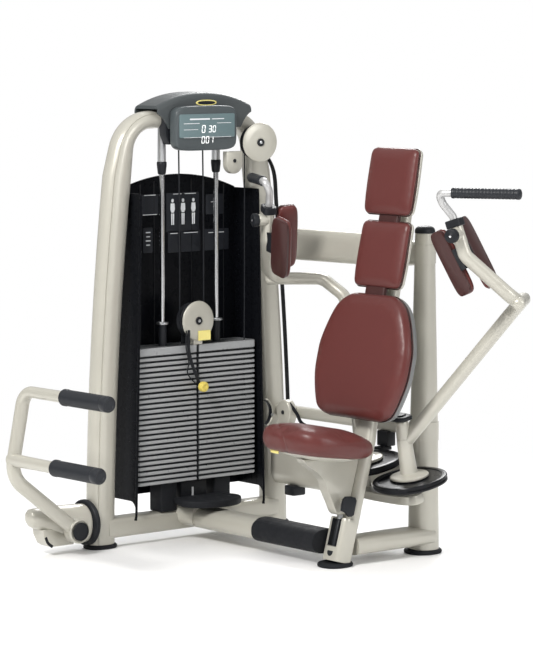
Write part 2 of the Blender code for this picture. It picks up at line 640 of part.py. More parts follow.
def arm(side, sign):
    """One arm. The points are of the left arm, and the right arm is its mirror image."""
    foot_point, axis = pivot_frame(sign)
    place = (lambda p: Vector(p)) if sign > 0 else mirrored
    lift = 0.0 if sign > 0 else RIGHT_CAM_LIFT
    cam_low = foot_point + axis * lift
    rings = []
    ahead = Vector((0, math.cos(PIVOT_LEAN), math.sin(PIVOT_LEAN)))
    for d, scale in ((0.0, 0.96), (0.004, 1.0), (CAM_H - 0.004, 1.0), (CAM_H, 0.97)):
        rings.append(oval(cam_low + axis * d, X, ahead, CAM_R * scale, CAM_R * scale, 2.25, 28))
    cam = loft(f"{side}_cam", rings, BLACK_PLASTIC)
    bore_r = SHAFT_R + 0.0015
    cut(cam, cylinder(f"{side}_cam_bore", cam_low - axis * 0.05, cam_low + axis * 0.1, bore_r, STEEL_METAL))

    column_low = cam_low + axis * (CAM_H + GAP)
    column_high = foot_point + axis * COLUMN_H
    column = cylinder(f"{side}_arm", column_low, column_high, COLUMN_R * 1.12, CREAM, 20, 0, COLUMN_R * 0.86)
    flange = cylinder(f"{side}_flange", column_low, column_low + axis * 0.009, 0.062, CREAM, 24)
    root = foot_point + axis * ARM_ROOT
    knee = Vector((0.392, 0.386, 0.812))
    shoulder = Vector((0.477, 0.360, 0.868))
    elbow = Vector((0.589, 0.226, 0.868))
    wrist = Vector((0.4705, 0.1114, 1.014))
    tip = Vector((0.440, 0.094, 1.120))
    upper_dir = (tip - wrist).normalized()
    path = [root, place(knee), place(shoulder), place(elbow), place(wrist), place(tip)]
    tube_path = rounded(path, 0.055, 4)
    start_side = Vector((0.3, 1, 0.2)).normalized()
    tube = sweep(f"{side}_arm_tube", tube_path, start_side, ARM_TUBE_R, ARM_TUBE_R, CREAM, 2, 12)
    weld(column, flange, tube)
    start, end = column_low - axis * 0.05, column_high + axis * 0.05
    cut(column, cylinder(f"{side}_arm_bore", start, end, bore_r, STEEL_METAL))

    # Two pads make a cradle for the forearm, open towards the user, with the bar at its corner.
    lower_dir = (wrist - elbow).normalized()
    pad_dir = (upper_dir * 0.7 + lower_dir * 0.3).normalized()
    middle = wrist - pad_dir * 0.006
    rear_way = square_to(Vector((-0.30, 0.95, 0)), pad_dir)
    inner_way = square_to(Vector((-0.96, 0.05, 0)), pad_dir)
    pads = (
        ("rear_pad", rear_way, 0.120, REAR_PAD_WIDTH, 0.0),
        ("inner_pad", inner_way, 0.096, INNER_PAD_WIDTH, 0.012),
    )
    for label, outward, length, width, rise in pads:
        face = outward.cross(pad_dir)
        start = middle + pad_dir * rise + outward * (PAD_START + width / 2) - face * (PAD_T / 2)
        rings = []
        for d, scale in ((0.0, 0.90), (0.006, 1.0), (PAD_T - 0.008, 1.0), (PAD_T, 0.86)):
            ring = oval(start + face * d, outward, pad_dir, width / 2 * scale, length * scale, 4.5, 20)
            rings.append([place(p) for p in ring])
        loft(f"{side}_{label}", rings, BURGUNDY)

    # Handle: a bent rod above the tip of the bar, with a grip that points outwards and back.
    socket = tip + upper_dir * 0.002
    rise = socket + Vector((-0.030, -0.022, 0.052))
    corner = Vector((0.413, 0.054, 1.206))
    grip_dir = Vector((0.86, 0.50, 0.0)).normalized()
    grip_start = corner + grip_dir * 0.045
    grip_end = grip_start + grip_dir * 0.215
    first = socket + upper_dir * 0.012
    handle_path = rounded([place(p) for p in (first, rise, corner, grip_start)], 0.035, 4)
    handle_path.insert(0, place(socket))
    start_side, rod_r = Vector((0.1, 0.2, 1)).normalized(), 0.0105
    handle = sweep(f"{side}_handle", handle_path, start_side, rod_r, rod_r, CHROME, 2, 12)
    start, end = place(grip_start - grip_dir * 0.004), place(grip_end)
    weld(handle, cylinder(f"{side}_grip", start, end, GRIP_R, BLACK_RUBBER, 14, 0.003))

    knob_point = tip - upper_dir * 0.043
    knob_dir = square_to(Vector((0.35, -1.0, 0)), upper_dir)
    boss_end, knob_end = ARM_TUBE_R + 0.014, ARM_TUBE_R + 0.036
    start, end = place(knob_point), place(knob_point + knob_dir * boss_end)
    weld(column, cylinder(f"{side}_knob_boss", start, end, 0.019, CREAM, 16))
    start, end = place(knob_point + knob_dir * (boss_end + GAP)), place(knob_point + knob_dir * knob_end)
    cylinder(f"{side}_arm_knob", start, end, 0.022, BLACK_PLASTIC, 18, 0.003)


def pivot_supports():
    """The carrier below the cams and the bridge above the columns hold the two pivot shafts."""
    foot_point, axis = pivot_frame(1)
    top = foot_point + axis * (COLUMN_H + 0.004 + GAP)
    rings = []
    ahead = Vector((0, math.cos(PIVOT_LEAN), math.sin(PIVOT_LEAN)))
    for d in (0.0, 0.014):
        centre = Vector((0, top.y, top.z)) + axis * d
        rings.append(oval(centre, X, ahead, PIVOT_X + 0.036, 0.034, 4, 24))
    bridge = loft("pivot_bridge", rings, BLACK_PLASTIC)
    cut(bridge, spine_sweep("bridge_guard", GAP))
    low = foot_point - axis * (0.030 + GAP)
    rings = []
    for d, half_y in ((-0.030, 0.046), (0.0, 0.040)):
        centre = Vector((0, low.y, low.z)) + axis * d
        rings.append(oval(centre, X, ahead, PIVOT_X + 0.034, half_y, 3, 24))
    carrier = loft("pivot_carrier", rings, CREAM)
    stem_low, stem_high = (-0.032, low.y, low.z - 0.030), (0.032, BEAM_Y, low.z - 0.004)
    weld(carrier, box("carrier_stem", stem_low, stem_high, CREAM, 0.005))
    for sign in (-1, 1):
        foot_point = pivot_frame(sign)[0]
        shaft_low, shaft_high = foot_point - axis * 0.050, foot_point + axis * (COLUMN_H + 0.004)
        weld(carrier, cylinder(f"pivot_shaft_{sign}", shaft_low, shaft_high, SHAFT_R, STEEL_METAL))
    cut(carrier, column_loft("carrier_column_guard", GAP))


# ---------------------------------------------------------------- seat lever and foot lever


def seat_lever():
    """A paddle on the user's left of the carriage's web, on a boss, that frees the gas spring."""
    outline = [(-0.020, 0.186), (-0.014, 0.222), (-0.002, 0.230), (0.036, 0.224)]
    outline += [(0.042, 0.214), (0.028, 0.166), (0.010, 0.164)]
    paddle = [(y - LEVER_HINGE.y, z - LEVER_HINGE.z) for y, z in outline]
    slab("seat_lever", paddle, LEVER_HINGE + X * GAP, Y, Z, 0.013, BLACK_PLASTIC, 0.003)


def lever_mount():
    """A tapered arm that sticks out in front of the tower, on a thick ring, and ends in a foot block."""
    post_front = -post_offset(0.09) - POST_W / 2
    ring_low, ring_high = (TOWER_X, post_front - 0.002, 0.091), (TOWER_X, post_front - 0.022, 0.091)
    cylinder("lever_mount_ring", ring_low, ring_high, 0.075, BLACK_RUBBER, 24, 0.003)
    first_y, last_y = post_front - 0.0226, -0.665
    stations = ((0.0, 0.056, 0.064), (0.35, 0.047, 0.054), (0.8, 0.034, 0.036))
    stations += ((0.95, 0.028, 0.030), (1.0, 0.014, 0.016))
    rings = []
    for t, half_x, half_z in stations:
        centre = (TOWER_X, first_y + (last_y - first_y) * t, 0.090 + 0.040 * t)
        rings.append(oval(centre, X, Z, half_x, half_z, 2.1, 18))
    mount = loft("lever_mount", rings, CREAM)
    block = [(0.50, 0.030), (0.60, 0.030), (0.625, 0.085), (0.50, 0.085)]
    weld(mount, slab("lever_mount_foot", block, (TOWER_X - 0.030, 0, 0), -Y, Z, -0.060, CREAM))
    pin_start = (TOWER_X + 0.028, LEVER_PIVOT.y, LEVER_PIVOT.z)
    weld(mount, cylinder("lever_pivot_pin", pin_start, LEVER_PIVOT + X * 0.020, 0.011, STEEL_METAL, 16))


def foot_lever():
    """The assist lever in front of the tower: a bent arm with two foot bars that reach towards the seat."""
    pivot = LEVER_PIVOT
    corners = [pivot, Vector((pivot.x, -0.782, 0.285)), Vector((pivot.x, -0.727, 0.556))]
    upper_start = corners[-1]
    lower_start = Vector((pivot.x, -0.775, 0.339))
    grip_span = {"upper": (0.217, 0.450), "lower": (0.230, 0.465)}  # along each bar, from the lever's plane
    bend = [Vector((0.0, -0.012, -0.055)), Vector((0.008, -0.006, -0.022)), Vector((0.028, 0.0, -0.004))]
    path = rounded(corners, 0.09, 4)[:-1] + [upper_start + offset for offset in bend]
    path += [upper_start + X * 0.060, upper_start + X * grip_span["upper"][0]]
    widths = [0.0155] * (len(path) - 5) + [0.016, 0.0175, LEVER_BAR_R, LEVER_BAR_R, LEVER_BAR_R]
    depths = [0.0235] * (len(path) - 5) + [0.022, 0.0205, LEVER_BAR_R, LEVER_BAR_R, LEVER_BAR_R]
    lever = sweep("foot_lever", path, X, widths, depths, CREAM, 2.4, 14, pivot)
    lower_end = lower_start + X * grip_span["lower"][0]
    weld(lever, cylinder("lower_bar", lower_start - X * 0.010, lower_end, LEVER_BAR_R, CREAM, 14))
    weld(lever, cylinder("lever_boss", pivot - X * 0.018, pivot + X * 0.020, 0.040, CREAM, 22))
    cut(lever, cylinder("lever_bore", pivot - X * 0.06, pivot + X * 0.06, 0.0125, STEEL_METAL, 16))
    for label, start in (("upper", upper_start), ("lower", lower_start)):
        grip_start, grip_end = (start + X * reach for reach in grip_span[label])
        cylinder(f"{label}_foot_grip", grip_start + X * GAP, grip_end, LEVER_GRIP_R, BLACK_RUBBER, 16, 0.003)
    cylinder("lever_cap", pivot + X * (0.020 + GAP), pivot + X * 0.027, 0.030, BLACK_PLASTIC, 20, 0.002)


clear_scene()
PARTS = new_collection("chest_fly_machine")
HELPERS = new_collection("helpers")
CREAM = material("champagne_paint", PAINT, 0.38, 0.25)
BLACK_PLASTIC = material("black_plastic", BLACK, 0.42)
BLACK_RUBBER = material("black_rubber", BLACK, 0.7)
GREY_PLASTIC = material("grey_plastic", GREY, 0.5)
BURGUNDY = material("burgundy_vinyl", VINYL, 0.45)
CHROME = material("chrome", STEEL, 0.12, 1.0)
STEEL_METAL = material("steel", STEEL, 0.3, 1.0)
PLATE_IRON = material("plate_iron", IRON, 0.45, 0.6)
YELLOW_PLASTIC = material("yellow_plastic", YELLOW, 0.4)
LCD = material("lcd", SCREEN, 0.15)

tower_frame()
for foot_name, foot_sign in (("tower_foot_front", -1), ("tower_foot_rear", 1)):
    foot(foot_name, (TOWER_X, foot_sign * post_offset(0.01), 0), 0.047, 0.058, BLACK_RUBBER)
shroud()
cowl()
console()
guide_rod("guide_rod_front", -ROD_Y)
guide_rod("guide_rod_rear", ROD_Y)
stack_pulley(weight_stack())
top_pulleys()
floor_frame()
backrest(seat_post())
rear_frame()
belt_pulley()
seat()
arm("left", 1)
arm("right", -1)
pivot_supports()
seat_lever()
lever_mount()
foot_lever()
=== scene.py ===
"""Looks of the seated chest-fly machine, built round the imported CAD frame. Metres, +Z up."""

import json
import math

import bmesh
import bpy
import numpy as np
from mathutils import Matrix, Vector

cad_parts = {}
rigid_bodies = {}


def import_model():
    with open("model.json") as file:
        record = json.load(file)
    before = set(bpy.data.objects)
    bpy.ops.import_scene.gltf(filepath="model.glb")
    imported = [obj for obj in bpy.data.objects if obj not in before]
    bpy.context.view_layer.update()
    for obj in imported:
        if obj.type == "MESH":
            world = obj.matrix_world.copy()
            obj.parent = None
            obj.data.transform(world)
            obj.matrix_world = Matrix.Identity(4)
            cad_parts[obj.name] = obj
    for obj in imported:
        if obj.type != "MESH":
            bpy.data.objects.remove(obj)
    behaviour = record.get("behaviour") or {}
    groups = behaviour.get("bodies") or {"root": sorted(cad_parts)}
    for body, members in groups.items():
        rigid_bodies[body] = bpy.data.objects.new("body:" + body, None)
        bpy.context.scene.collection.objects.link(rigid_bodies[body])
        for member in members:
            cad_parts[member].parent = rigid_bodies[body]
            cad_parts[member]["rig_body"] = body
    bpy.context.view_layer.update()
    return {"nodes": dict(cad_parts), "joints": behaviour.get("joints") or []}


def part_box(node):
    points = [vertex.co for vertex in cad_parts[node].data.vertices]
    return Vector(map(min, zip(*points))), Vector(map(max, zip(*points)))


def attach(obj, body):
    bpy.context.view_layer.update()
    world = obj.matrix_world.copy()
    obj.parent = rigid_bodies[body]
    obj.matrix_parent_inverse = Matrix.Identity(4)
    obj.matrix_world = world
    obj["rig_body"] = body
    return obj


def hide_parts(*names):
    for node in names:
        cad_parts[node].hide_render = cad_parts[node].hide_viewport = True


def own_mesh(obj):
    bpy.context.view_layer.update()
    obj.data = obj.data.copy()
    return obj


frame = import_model()
NODES = frame["nodes"]
JOINTS = {joint["name"]: joint for joint in frame["joints"]}
BODY_OF = {name: obj["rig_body"] for name, obj in NODES.items()}

X, Y, Z = Vector((1, 0, 0)), Vector((0, 1, 0)), Vector((0, 0, 1))

# Places that the frame gives
TOWER_LOW, TOWER_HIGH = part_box("tower_frame")
TOWER_X = (TOWER_LOW.x + TOWER_HIGH.x) / 2
POST_D = TOWER_HIGH.x - TOWER_LOW.x
POST_W = 0.098
FOOT_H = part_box("tower_foot_front")[1].z
BACK_LEAN = math.radians(15.6)
PIVOT_LEAN = math.radians(11.0)
UP_BACK = Vector((0, math.sin(BACK_LEAN), math.cos(BACK_LEAN)))  # up along the backrest
OUT_BACK = X.cross(UP_BACK)  # out of the backrest, towards the user
ARM_AXIS = Vector((0, -math.sin(PIVOT_LEAN), math.cos(PIVOT_LEAN)))
ARM_AHEAD = Vector((0, math.cos(PIVOT_LEAN), math.sin(PIVOT_LEAN)))
SHROUD_TOP = 1.165  # where the shroud's sides end and its arch begins
SPINE_RUNS = ((0.4, 13.5), (0.235, 12.5), (0.11, 10.5))  # length and lean of each run of the spine
SEAT_Y, SEAT_TILT = -0.074, -0.14  # middle of the cushion, and its rise towards the back
SEAT_HALF_W, SEAT_HALF_D, SEAT_POWER = 0.152, 0.158, 3.2

# The left arm, from its pivot to the socket of its handle
PIVOT_FOOT = Vector(JOINTS["left_arm_swing"]["pos_m"])
CAM_R, RIGHT_CAM_LIFT = 0.116, 0.034  # the right cam sits above the left one
COLUMN_H, ARM_ROOT = 0.211, 0.138
KNEE, SHOULDER = Vector((0.392, 0.386, 0.812)), Vector((0.477, 0.36, 0.868))
ELBOW = Vector((0.589, 0.226, 0.868))
WRIST, TIP = Vector((0.4705, 0.1114, 1.014)), Vector((0.44, 0.094, 1.12))
UPPER_ARM = (TIP - WRIST).normalized()
FOREARM_SHARE = 0.62  # how far along the tube its upper part starts


# ---------------------------------------------------------------- materials


def set_inputs(node, **values):
    """Give a node's inputs their values. An input's name has underscores where it has spaces."""
    for name, value in values.items():
        node.inputs[name.replace("_", " ")].default_value = value
    return node


class Look:
    """A Principled material that gains colour change, bump and wear from node layers."""

    def __init__(self, name, colour, roughness, metallic=0.0, coat=0.0):
        self.material = bpy.data.materials.new(name)
        self.material.use_nodes = True
        self.nodes = self.material.node_tree.nodes
        self.links = self.material.node_tree.links
        self.shader = self.nodes["Principled BSDF"]
        self.material.diffuse_color = (*colour, 1.0)
        set_inputs(self.shader, Base_Color=(*colour, 1.0), Roughness=roughness, Metallic=metallic)
        set_inputs(self.shader, Coat_Weight=coat, Coat_Roughness=0.12)
        self.colour = colour
        self.roughness = roughness
        self.colour_out = None
        self.place = self.add("TexCoord").outputs["Object"]

    def add(self, kind, **values):
        return set_inputs(self.nodes.new("ShaderNode" + kind), **values)

    def noise(self, scale, detail=3.0, stretch=None):
        source = self.place
        if stretch:
            mapping = self.add("Mapping", Scale=stretch)
            self.links.new(source, mapping.inputs["Vector"])
            source = mapping.outputs["Vector"]
        texture = self.add("TexNoise", Scale=scale, Detail=detail)
        self.links.new(source, texture.inputs["Vector"])
        return texture.outputs["Fac"]

    def cells(self, scale):
        texture = self.add("TexVoronoi", Scale=scale)
        texture.feature = "DISTANCE_TO_EDGE"
        self.links.new(self.place, texture.inputs["Vector"])
        return texture.outputs["Distance"]

    def ramp(self, value, low, high, bottom=0.0, top=1.0):
        node = self.add("MapRange", From_Min=low, From_Max=high, To_Min=bottom, To_Max=top)
        self.links.new(value, node.inputs["Value"])
        return node.outputs["Result"]

    def mix(self, factor, colour):
        """Lay colour over what is there, where factor is 1."""
        node = self.add("Mix")
        node.data_type = "RGBA"
        if self.colour_out is None:
            node.inputs["A"].default_value = (*self.colour, 1.0)
        else:
            self.links.new(self.colour_out, node.inputs["A"])
        node.inputs["B"].default_value = (*colour, 1.0)
        self.links.new(factor, node.inputs["Factor"])
        self.colour_out = node.outputs["Result"]
        self.links.new(self.colour_out, self.shader.inputs["Base Color"])
        return self

    def mottle(self, scale, amount, stretch=None):
        """Slow change of tone, darker and lighter by amount."""
        value = self.noise(scale, 4.0, stretch)
        dark = tuple(c * (1 - amount) for c in self.colour)
        light = tuple(min(1.0, c * (1 + amount)) for c in self.colour)
        self.mix(self.ramp(value, 0.35, 0.1), dark)
        return self.mix(self.ramp(value, 0.55, 0.85), light)

    def uneven(self, scale, spread):
        """Roughness that wanders by spread."""
        value = self.ramp(self.noise(scale, 5.0), 0.3, 0.7, self.roughness - spread, self.roughness + spread)
        self.links.new(value, self.shader.inputs["Roughness"])
        return self

    def bump(self, height, strength, distance):
        """Relief from height, on top of the relief that is there."""
        node = self.add("Bump", Strength=strength, Distance=distance)
        self.links.new(height, node.inputs["Height"])
        before = self.shader.inputs["Normal"]
        if before.is_linked:
            self.links.new(before.links[0].from_socket, node.inputs["Normal"])
        self.links.new(node.outputs["Normal"], before)
        return self

    def wear_and_highlight(self, colour, start=0.56, end=0.66, amount=0.5):
        """Convex edges of the mesh take another colour: rubbed wear on most looks, a painted highlight on
        the iron plates.
        """
        edge = self.ramp(self.add("NewGeometry").outputs["Pointiness"], start, end, 0.0, amount)
        return self.mix(edge, colour)


def paint_look():
    look = Look("champagne_paint", (0.475, 0.46, 0.402), 0.32, 0.22, 0.22)
    look.mottle(9.0, 0.04).uneven(30.0, 0.03)
    look.bump(look.noise(32.0, 1.0), 0.03, 0.0012)
    return look.wear_and_highlight((0.74, 0.72, 0.66), amount=0.35).material


def vinyl_look(name, colour):
    """Upholstery vinyl: a fine pebbled grain, soft creases and a low sheen."""
    look = Look(name, colour, 0.36)
    look.mottle(14.0, 0.08).uneven(45.0, 0.04)
    look.bump(look.cells(240.0), 0.05, 0.0006)
    look.bump(look.noise(60.0, 3.0), 0.12, 0.0014)
    set_inputs(look.shader, Specular_IOR_Level=0.38, Sheen_Weight=0.05, Sheen_Tint=(0.9, 0.72, 0.68, 1.0))
    return look.wear_and_highlight(tuple(c * 1.45 for c in colour), amount=0.45).material


def moulding_look(name, colour, roughness=0.46, coat=0.0, shine=0.28):
    """Injection moulding with a fine spark-eroded grain."""
    look = Look(name, colour, roughness, 0.0, coat)
    look.mottle(20.0, 0.06).uneven(40.0, 0.03)
    look.bump(look.noise(90.0, 1.0), 0.04, 0.0006)
    set_inputs(look.shader, Specular_IOR_Level=shine)
    return look.wear_and_highlight(tuple(c * 1.9 + 0.02 for c in colour), amount=0.3).material


def rubber_look(name, colour):
    look = Look(name, colour, 0.66)
    look.mottle(25.0, 0.18).uneven(50.0, 0.08)
    look.bump(look.cells(160.0), 0.1, 0.0007)
    set_inputs(look.shader, Specular_IOR_Level=0.22)
    return look.wear_and_highlight(tuple(c * 2.2 + 0.02 for c in colour), amount=0.3).material


def metal_look(name, colour, roughness, scratch, metallic=1.0):
    """Bright metal: scratch is how strongly fine turning marks show."""
    look = Look(name, colour, roughness, metallic)
    look.mottle(12.0, 0.03).uneven(20.0, roughness * 0.15)
    look.bump(look.noise(14.0, 2.0, (6.0, 6.0, 1.0)), scratch, 0.0002)
    return look.material


def plate_look():
    """Grey painted plates, with a painted highlight along their edges."""
    look = Look("plate_iron", (0.055, 0.058, 0.061), 0.34, 0.15)
    look.mottle(35.0, 0.16, (1.0, 0.25, 4.0)).uneven(60.0, 0.08)
    look.bump(look.noise(45.0, 1.0), 0.05, 0.001)
    # Painted highlight: the convex plate edges are lightened to pale grey.
    return look.wear_and_highlight((0.42, 0.43, 0.44), 0.53, 0.6, 0.8).material


# Painted glow: these looks give off light of their own, for the display window and its digits, which are no
# lamps.
def glow_look(name, colour, strength):
    look = Look(name, colour, 0.4)
    look.mottle(120.0, 0.05)
    set_inputs(look.shader, Emission_Color=(*colour, 1.0), Emission_Strength=strength)
    return look.material


PAINT = paint_look()
VINYL = vinyl_look("burgundy_vinyl", (0.102, 0.0235, 0.021))
VINYL_DARK = vinyl_look("burgundy_vinyl_back", (0.046, 0.014, 0.013))
BLACK = moulding_look("black_plastic", (0.0105, 0.0118, 0.0148), 0.42, 0.0, 0.24)
SHROUD = moulding_look("shroud_plastic", (0.0036, 0.0041, 0.0056), 0.28, 0.0, 0.08)
PANEL = moulding_look("shroud_panel", (0.018, 0.02, 0.025), 0.34, 0.0, 0.2)
GLOSS = moulding_look("cam_black", (0.0055, 0.006, 0.0078), 0.3, 0.0, 0.2)
RUBBER = rubber_look("black_rubber", (0.009, 0.01, 0.0125))
GRIP = moulding_look("grip_rubber", (0.017, 0.019, 0.023), 0.42)
GREY = moulding_look("cowl_grey", (0.056, 0.064, 0.067), 0.42, 0.0, 0.4)
CONSOLE = moulding_look("console_grey", (0.064, 0.076, 0.081), 0.36, 0.0, 0.4)
CHROME = metal_look("chrome", (0.78, 0.79, 0.8), 0.16, 0.0)
SATIN = metal_look("satin_silver", (0.5, 0.5, 0.5), 0.34, 0.0, 0.45)
STEEL = metal_look("turned_steel", (0.52, 0.53, 0.54), 0.32, 0.01)
PLATE = plate_look()
YELLOW = moulding_look("yellow_plastic", (0.72, 0.58, 0.13), 0.38)
LABEL = moulding_look("blank_label", (0.82, 0.72, 0.25), 0.45)
# LENS and DIGIT carry a painted glow.
LENS = glow_look("display_lens", (0.115, 0.17, 0.18), 0.06)
SHELL = moulding_look("pad_shell_grey", (0.15, 0.155, 0.155), 0.34, 0.2, 0.5)
DIGIT = glow_look("display_digit", (0.88, 0.9, 0.9), 0.35)
PRINT = moulding_look("white_print", (0.62, 0.64, 0.66), 0.5)


# ---------------------------------------------------------------- shapes


def add_piece(name, bm, material, body, *stands_for, sharp=35.0):
    """One visible piece from a bmesh in world space. It rides on a body and may stand for CAD nodes."""
    bmesh.ops.recalc_face_normals(bm, faces=bm.faces)
    mesh = bpy.data.meshes.new(name)
    bm.to_mesh(mesh)
    bm.free()
    mesh.materials.append(material)
    mesh.shade_smooth()
    mesh.set_sharp_from_angle(angle=math.radians(sharp))
    obj = bpy.data.objects.new(name, mesh)
    bpy.context.scene.collection.objects.link(obj)
    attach(obj, body)
    if stands_for:
        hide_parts(*stands_for)
    return obj


def soften(obj, width, segments=3, angle=40.0):
    modifier = obj.modifiers.new("edges", "BEVEL")
    modifier.width = width
    modifier.segments = segments
    modifier.limit_method = "ANGLE"
    modifier.angle_limit = math.radians(angle)
    modifier.harden_normals = False
    return obj


def arc_angles(first, last, count):
    """Angles in radians from first to last, which are in degrees, in equal steps."""
    return [math.radians(first + (last - first) * i / count) for i in range(count + 1)]


def clamp(value):
    return max(0.0, min(1.0, value))


def oval(centre, across, up, half_w, half_h, power=2.5, count=48, grooves=()):
    """Points of a superellipse. A groove, (angle in degrees, depth share), is a notch in the outline."""
    angles = [360.0 * (i + 0.5) / count for i in range(count)]
    notches = {}
    for angle, depth in grooves:
        for offset, share in ((-2.4, 0.0), (-1.2, depth), (1.2, depth), (2.4, 0.0)):
            notches[(angle + offset) % 360] = share
        angles = [a for a in angles if abs((a - angle + 180) % 360 - 180) > 3.0]
    points = []
    for degrees in sorted(angles + list(notches)):
        angle = math.radians(degrees)
        c, s = math.cos(angle), math.sin(angle)
        scale = 1.0 - notches.get(degrees, 0.0)
        a = math.copysign(abs(c) ** (2 / power), c) * scale
        b = math.copysign(abs(s) ** (2 / power), s) * scale
        points.append(Vector(centre) + across * half_w * a + up * half_h * b)
    return points


def flat_oval(u, v, half_u, half_v, power=2.5, count=48):
    """The outline of a superellipse as (u, v) points."""
    return [(p.x, p.y) for p in oval((u, v, 0), X, Y, half_u, half_v, power, count)]


def skin(rings, close_ends=True):
    """A bmesh through rings of points."""
    bm = bmesh.new()
    rows = [[bm.verts.new(point) for point in ring] for ring in rings]
    for first, second in zip(rows, rows[1:]):
        for i in range(len(first)):
            j = (i + 1) % len(first)
            bm.faces.new((first[i], first[j], second[j], second[i]))
    if close_ends:
        bm.faces.new(rows[0])
        bm.faces.new(rows[-1])
    return bm


def at(values, i):
    return values[i] if isinstance(values, list) else values


def square_to(vector, axis):
    return (vector - vector.dot(axis) * axis).normalized()


def leaning(degrees):
    """Unit vector that leans back by the angle from vertical."""
    angle = math.radians(degrees)
    return Vector((0, math.sin(angle), math.cos(angle)))


def tube(path, side, half_side, half_other, power=2.2, count=40, domes=(0.0, 0.0), grooves=()):
    """Rings of an oval tube. half_side starts along side and turns with the path; domes round the ends."""
    path = [Vector(point) for point in path]
    rings = []
    last = len(path) - 1
    across = side
    for i, point in enumerate(path):
        along = (path[min(i + 1, last)] - path[max(i - 1, 0)]).normalized()
        across = square_to(across, along)
        other = along.cross(across)
        w, h = at(half_side, i), at(half_other, i)
        ring = oval(point, across, other, w, h, power, count, grooves)
        steps = []
        if i in (0, last) and domes[0 if i == 0 else 1]:
            reach = domes[0 if i == 0 else 1] * (-1 if i == 0 else 1)
            for k in range(1, 6):
                angle = math.pi / 2 * k / 5.5
                scale = math.cos(angle)
                moved = point + along * reach * math.sin(angle)
                steps.append(oval(moved, across, other, w * scale, h * scale, power, count, grooves))
        if i == 0:
            rings += list(reversed(steps)) + [ring]
        else:
            rings += [ring] + steps
    return rings


def bar(path, side, half_side, half_other, power=2.2, count=40, domes=(0.0, 0.0)):
    return skin(tube(path, side, half_side, half_other, power, count, domes))


def rounded(points, radius, steps=10):
    """The path through points with each inner corner replaced by an arc."""
    points = [Vector(point) for point in points]
    path = [points[0]]
    for before, corner, after in zip(points, points[1:], points[2:]):
        a, b = (before - corner).normalized(), (after - corner).normalized()
        half = a.angle(b) / 2
        reach = min(radius / math.tan(half), (before - corner).length / 2, (after - corner).length / 2)
        centre = corner + (a + b).normalized() * (reach / math.cos(half))
        first, last = corner + a * reach - centre, corner + b * reach - centre
        for i in range(steps + 1):
            path.append(centre + first.slerp(last, i / steps).normalized() * first.length)
    path.append(points[-1])
    return path


def spline(points, per_span=8):
    """A smooth path through every point (Catmull-Rom)."""
    points = [Vector(p) for p in points]
    ends = [2 * points[0] - points[1]] + points + [2 * points[-1] - points[-2]]
    path = []
    for a, b, c, d in zip(ends, ends[1:], ends[2:], ends[3:]):
        for i in range(per_span):
            t = i / per_span
            square = (2 * a - 5 * b + 4 * c - d) * t * t
            cubic = (3 * b - a - 3 * c + d) * t * t * t
            path.append(0.5 * (2 * b + (c - a) * t + square + cubic))
    path.append(points[-1])
    return path


def lathe(origin, axis, profile, count=48):
    """A turned bmesh. profile is (distance along the axis, radius) from one end to the other."""
    axis = Vector(axis).normalized()
    across = axis.orthogonal().normalized()
    up = axis.cross(across)
    return skin([oval(Vector(origin) + axis * d, across, up, r, r, 2, count) for d, r in profile])


def edge_profile(start, end, radius, edge):
    """Profile of a disc or rod whose two rims are rounded."""
    turns = [i * math.pi / 2 / 4 for i in range(5)]
    first = [(start + edge * (1 - math.sin(a)), radius - edge * (1 - math.cos(a))) for a in reversed(turns)]
    second = [(end - edge * (1 - math.sin(a)), radius - edge * (1 - math.cos(a))) for a in turns]
    return list(first) + list(reversed(second))


def middle_of(node):
    """Middle of a CAD node's box, and half its size."""
    low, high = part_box(node)
    return (low + high) / 2, (high - low) / 2


def merge(*meshes):
    """Several bmeshes as one piece."""
    whole = bmesh.new()
    for bm in meshes:
        mesh = bpy.data.meshes.new("part")
        bmesh.ops.recalc_face_normals(bm, faces=bm.faces)
        bm.to_mesh(mesh)
        bm.free()
        whole.from_mesh(mesh)
        bpy.data.meshes.remove(mesh)
    return whole


def block(low, high, edge=0.0, segments=2):
    low, high = Vector(low), Vector(high)
    bm = bmesh.new()
    bmesh.ops.create_cube(bm, size=1.0)
    bmesh.ops.scale(bm, vec=high - low, verts=bm.verts)
    bmesh.ops.translate(bm, vec=(low + high) / 2, verts=bm.verts)
    if edge:
        bmesh.ops.bevel(bm, geom=bm.edges[:], offset=edge, segments=segments, affect="EDGES", profile=0.5)
    return bm


def plate_between(outline, origin, across, up, thickness, edge=0.0):
    """A flat outline made thick along the cross product of across and up, with rounded rims."""
    normal = across.cross(up).normalized()
    centre_u = sum(u for u, _ in outline) / len(outline)
    centre_v = sum(v for _, v in outline) / len(outline)
    reach = max(math.hypot(u - centre_u, v - centre_v) for u, v in outline)

    def ring(offset, shrink):
        scale = 1 - shrink / reach
        return [
            Vector(origin)
            + across * (centre_u + (u - centre_u) * scale)
            + up * (centre_v + (v - centre_v) * scale)
            + normal * offset
            for u, v in outline
        ]

    if not edge:
        return skin([ring(0.0, 0.0), ring(thickness, 0.0)])
    turns = [(1 - math.sin(a), 1 - math.cos(a)) for a in [i * math.pi / 2 / 3 for i in range(4)]]
    rings = [ring(edge * d, edge * s) for d, s in reversed(turns)]
    rings += [ring(thickness - edge * d, edge * s) for d, s in turns]
    order = sorted(range(len(rings)), key=lambda i: (rings[i][0] - Vector(origin)).dot(normal))
    return skin([rings[i] for i in order])


def sheet(outline, x, thickness, edge=0.0):
    """A flat outline of (y, z) points, square to X, with its rear face at x."""
    return plate_between(outline, (x, 0, 0), Y, Z, thickness, edge)


def rounded_outline(half_w, half_h, radius, centre=(0.0, 0.0), steps=6):
    points = []
    for quarter, (sx, sy) in enumerate(((1, 1), (-1, 1), (-1, -1), (1, -1))):
        for i in range(steps + 1):
            angle = math.pi / 2 * (quarter + i / steps)
            points.append(
                (
                    centre[0] + sx * (half_w - radius) + radius * math.cos(angle),
                    centre[1] + sy * (half_h - radius) + radius * math.sin(angle),
                )
            )
    return points


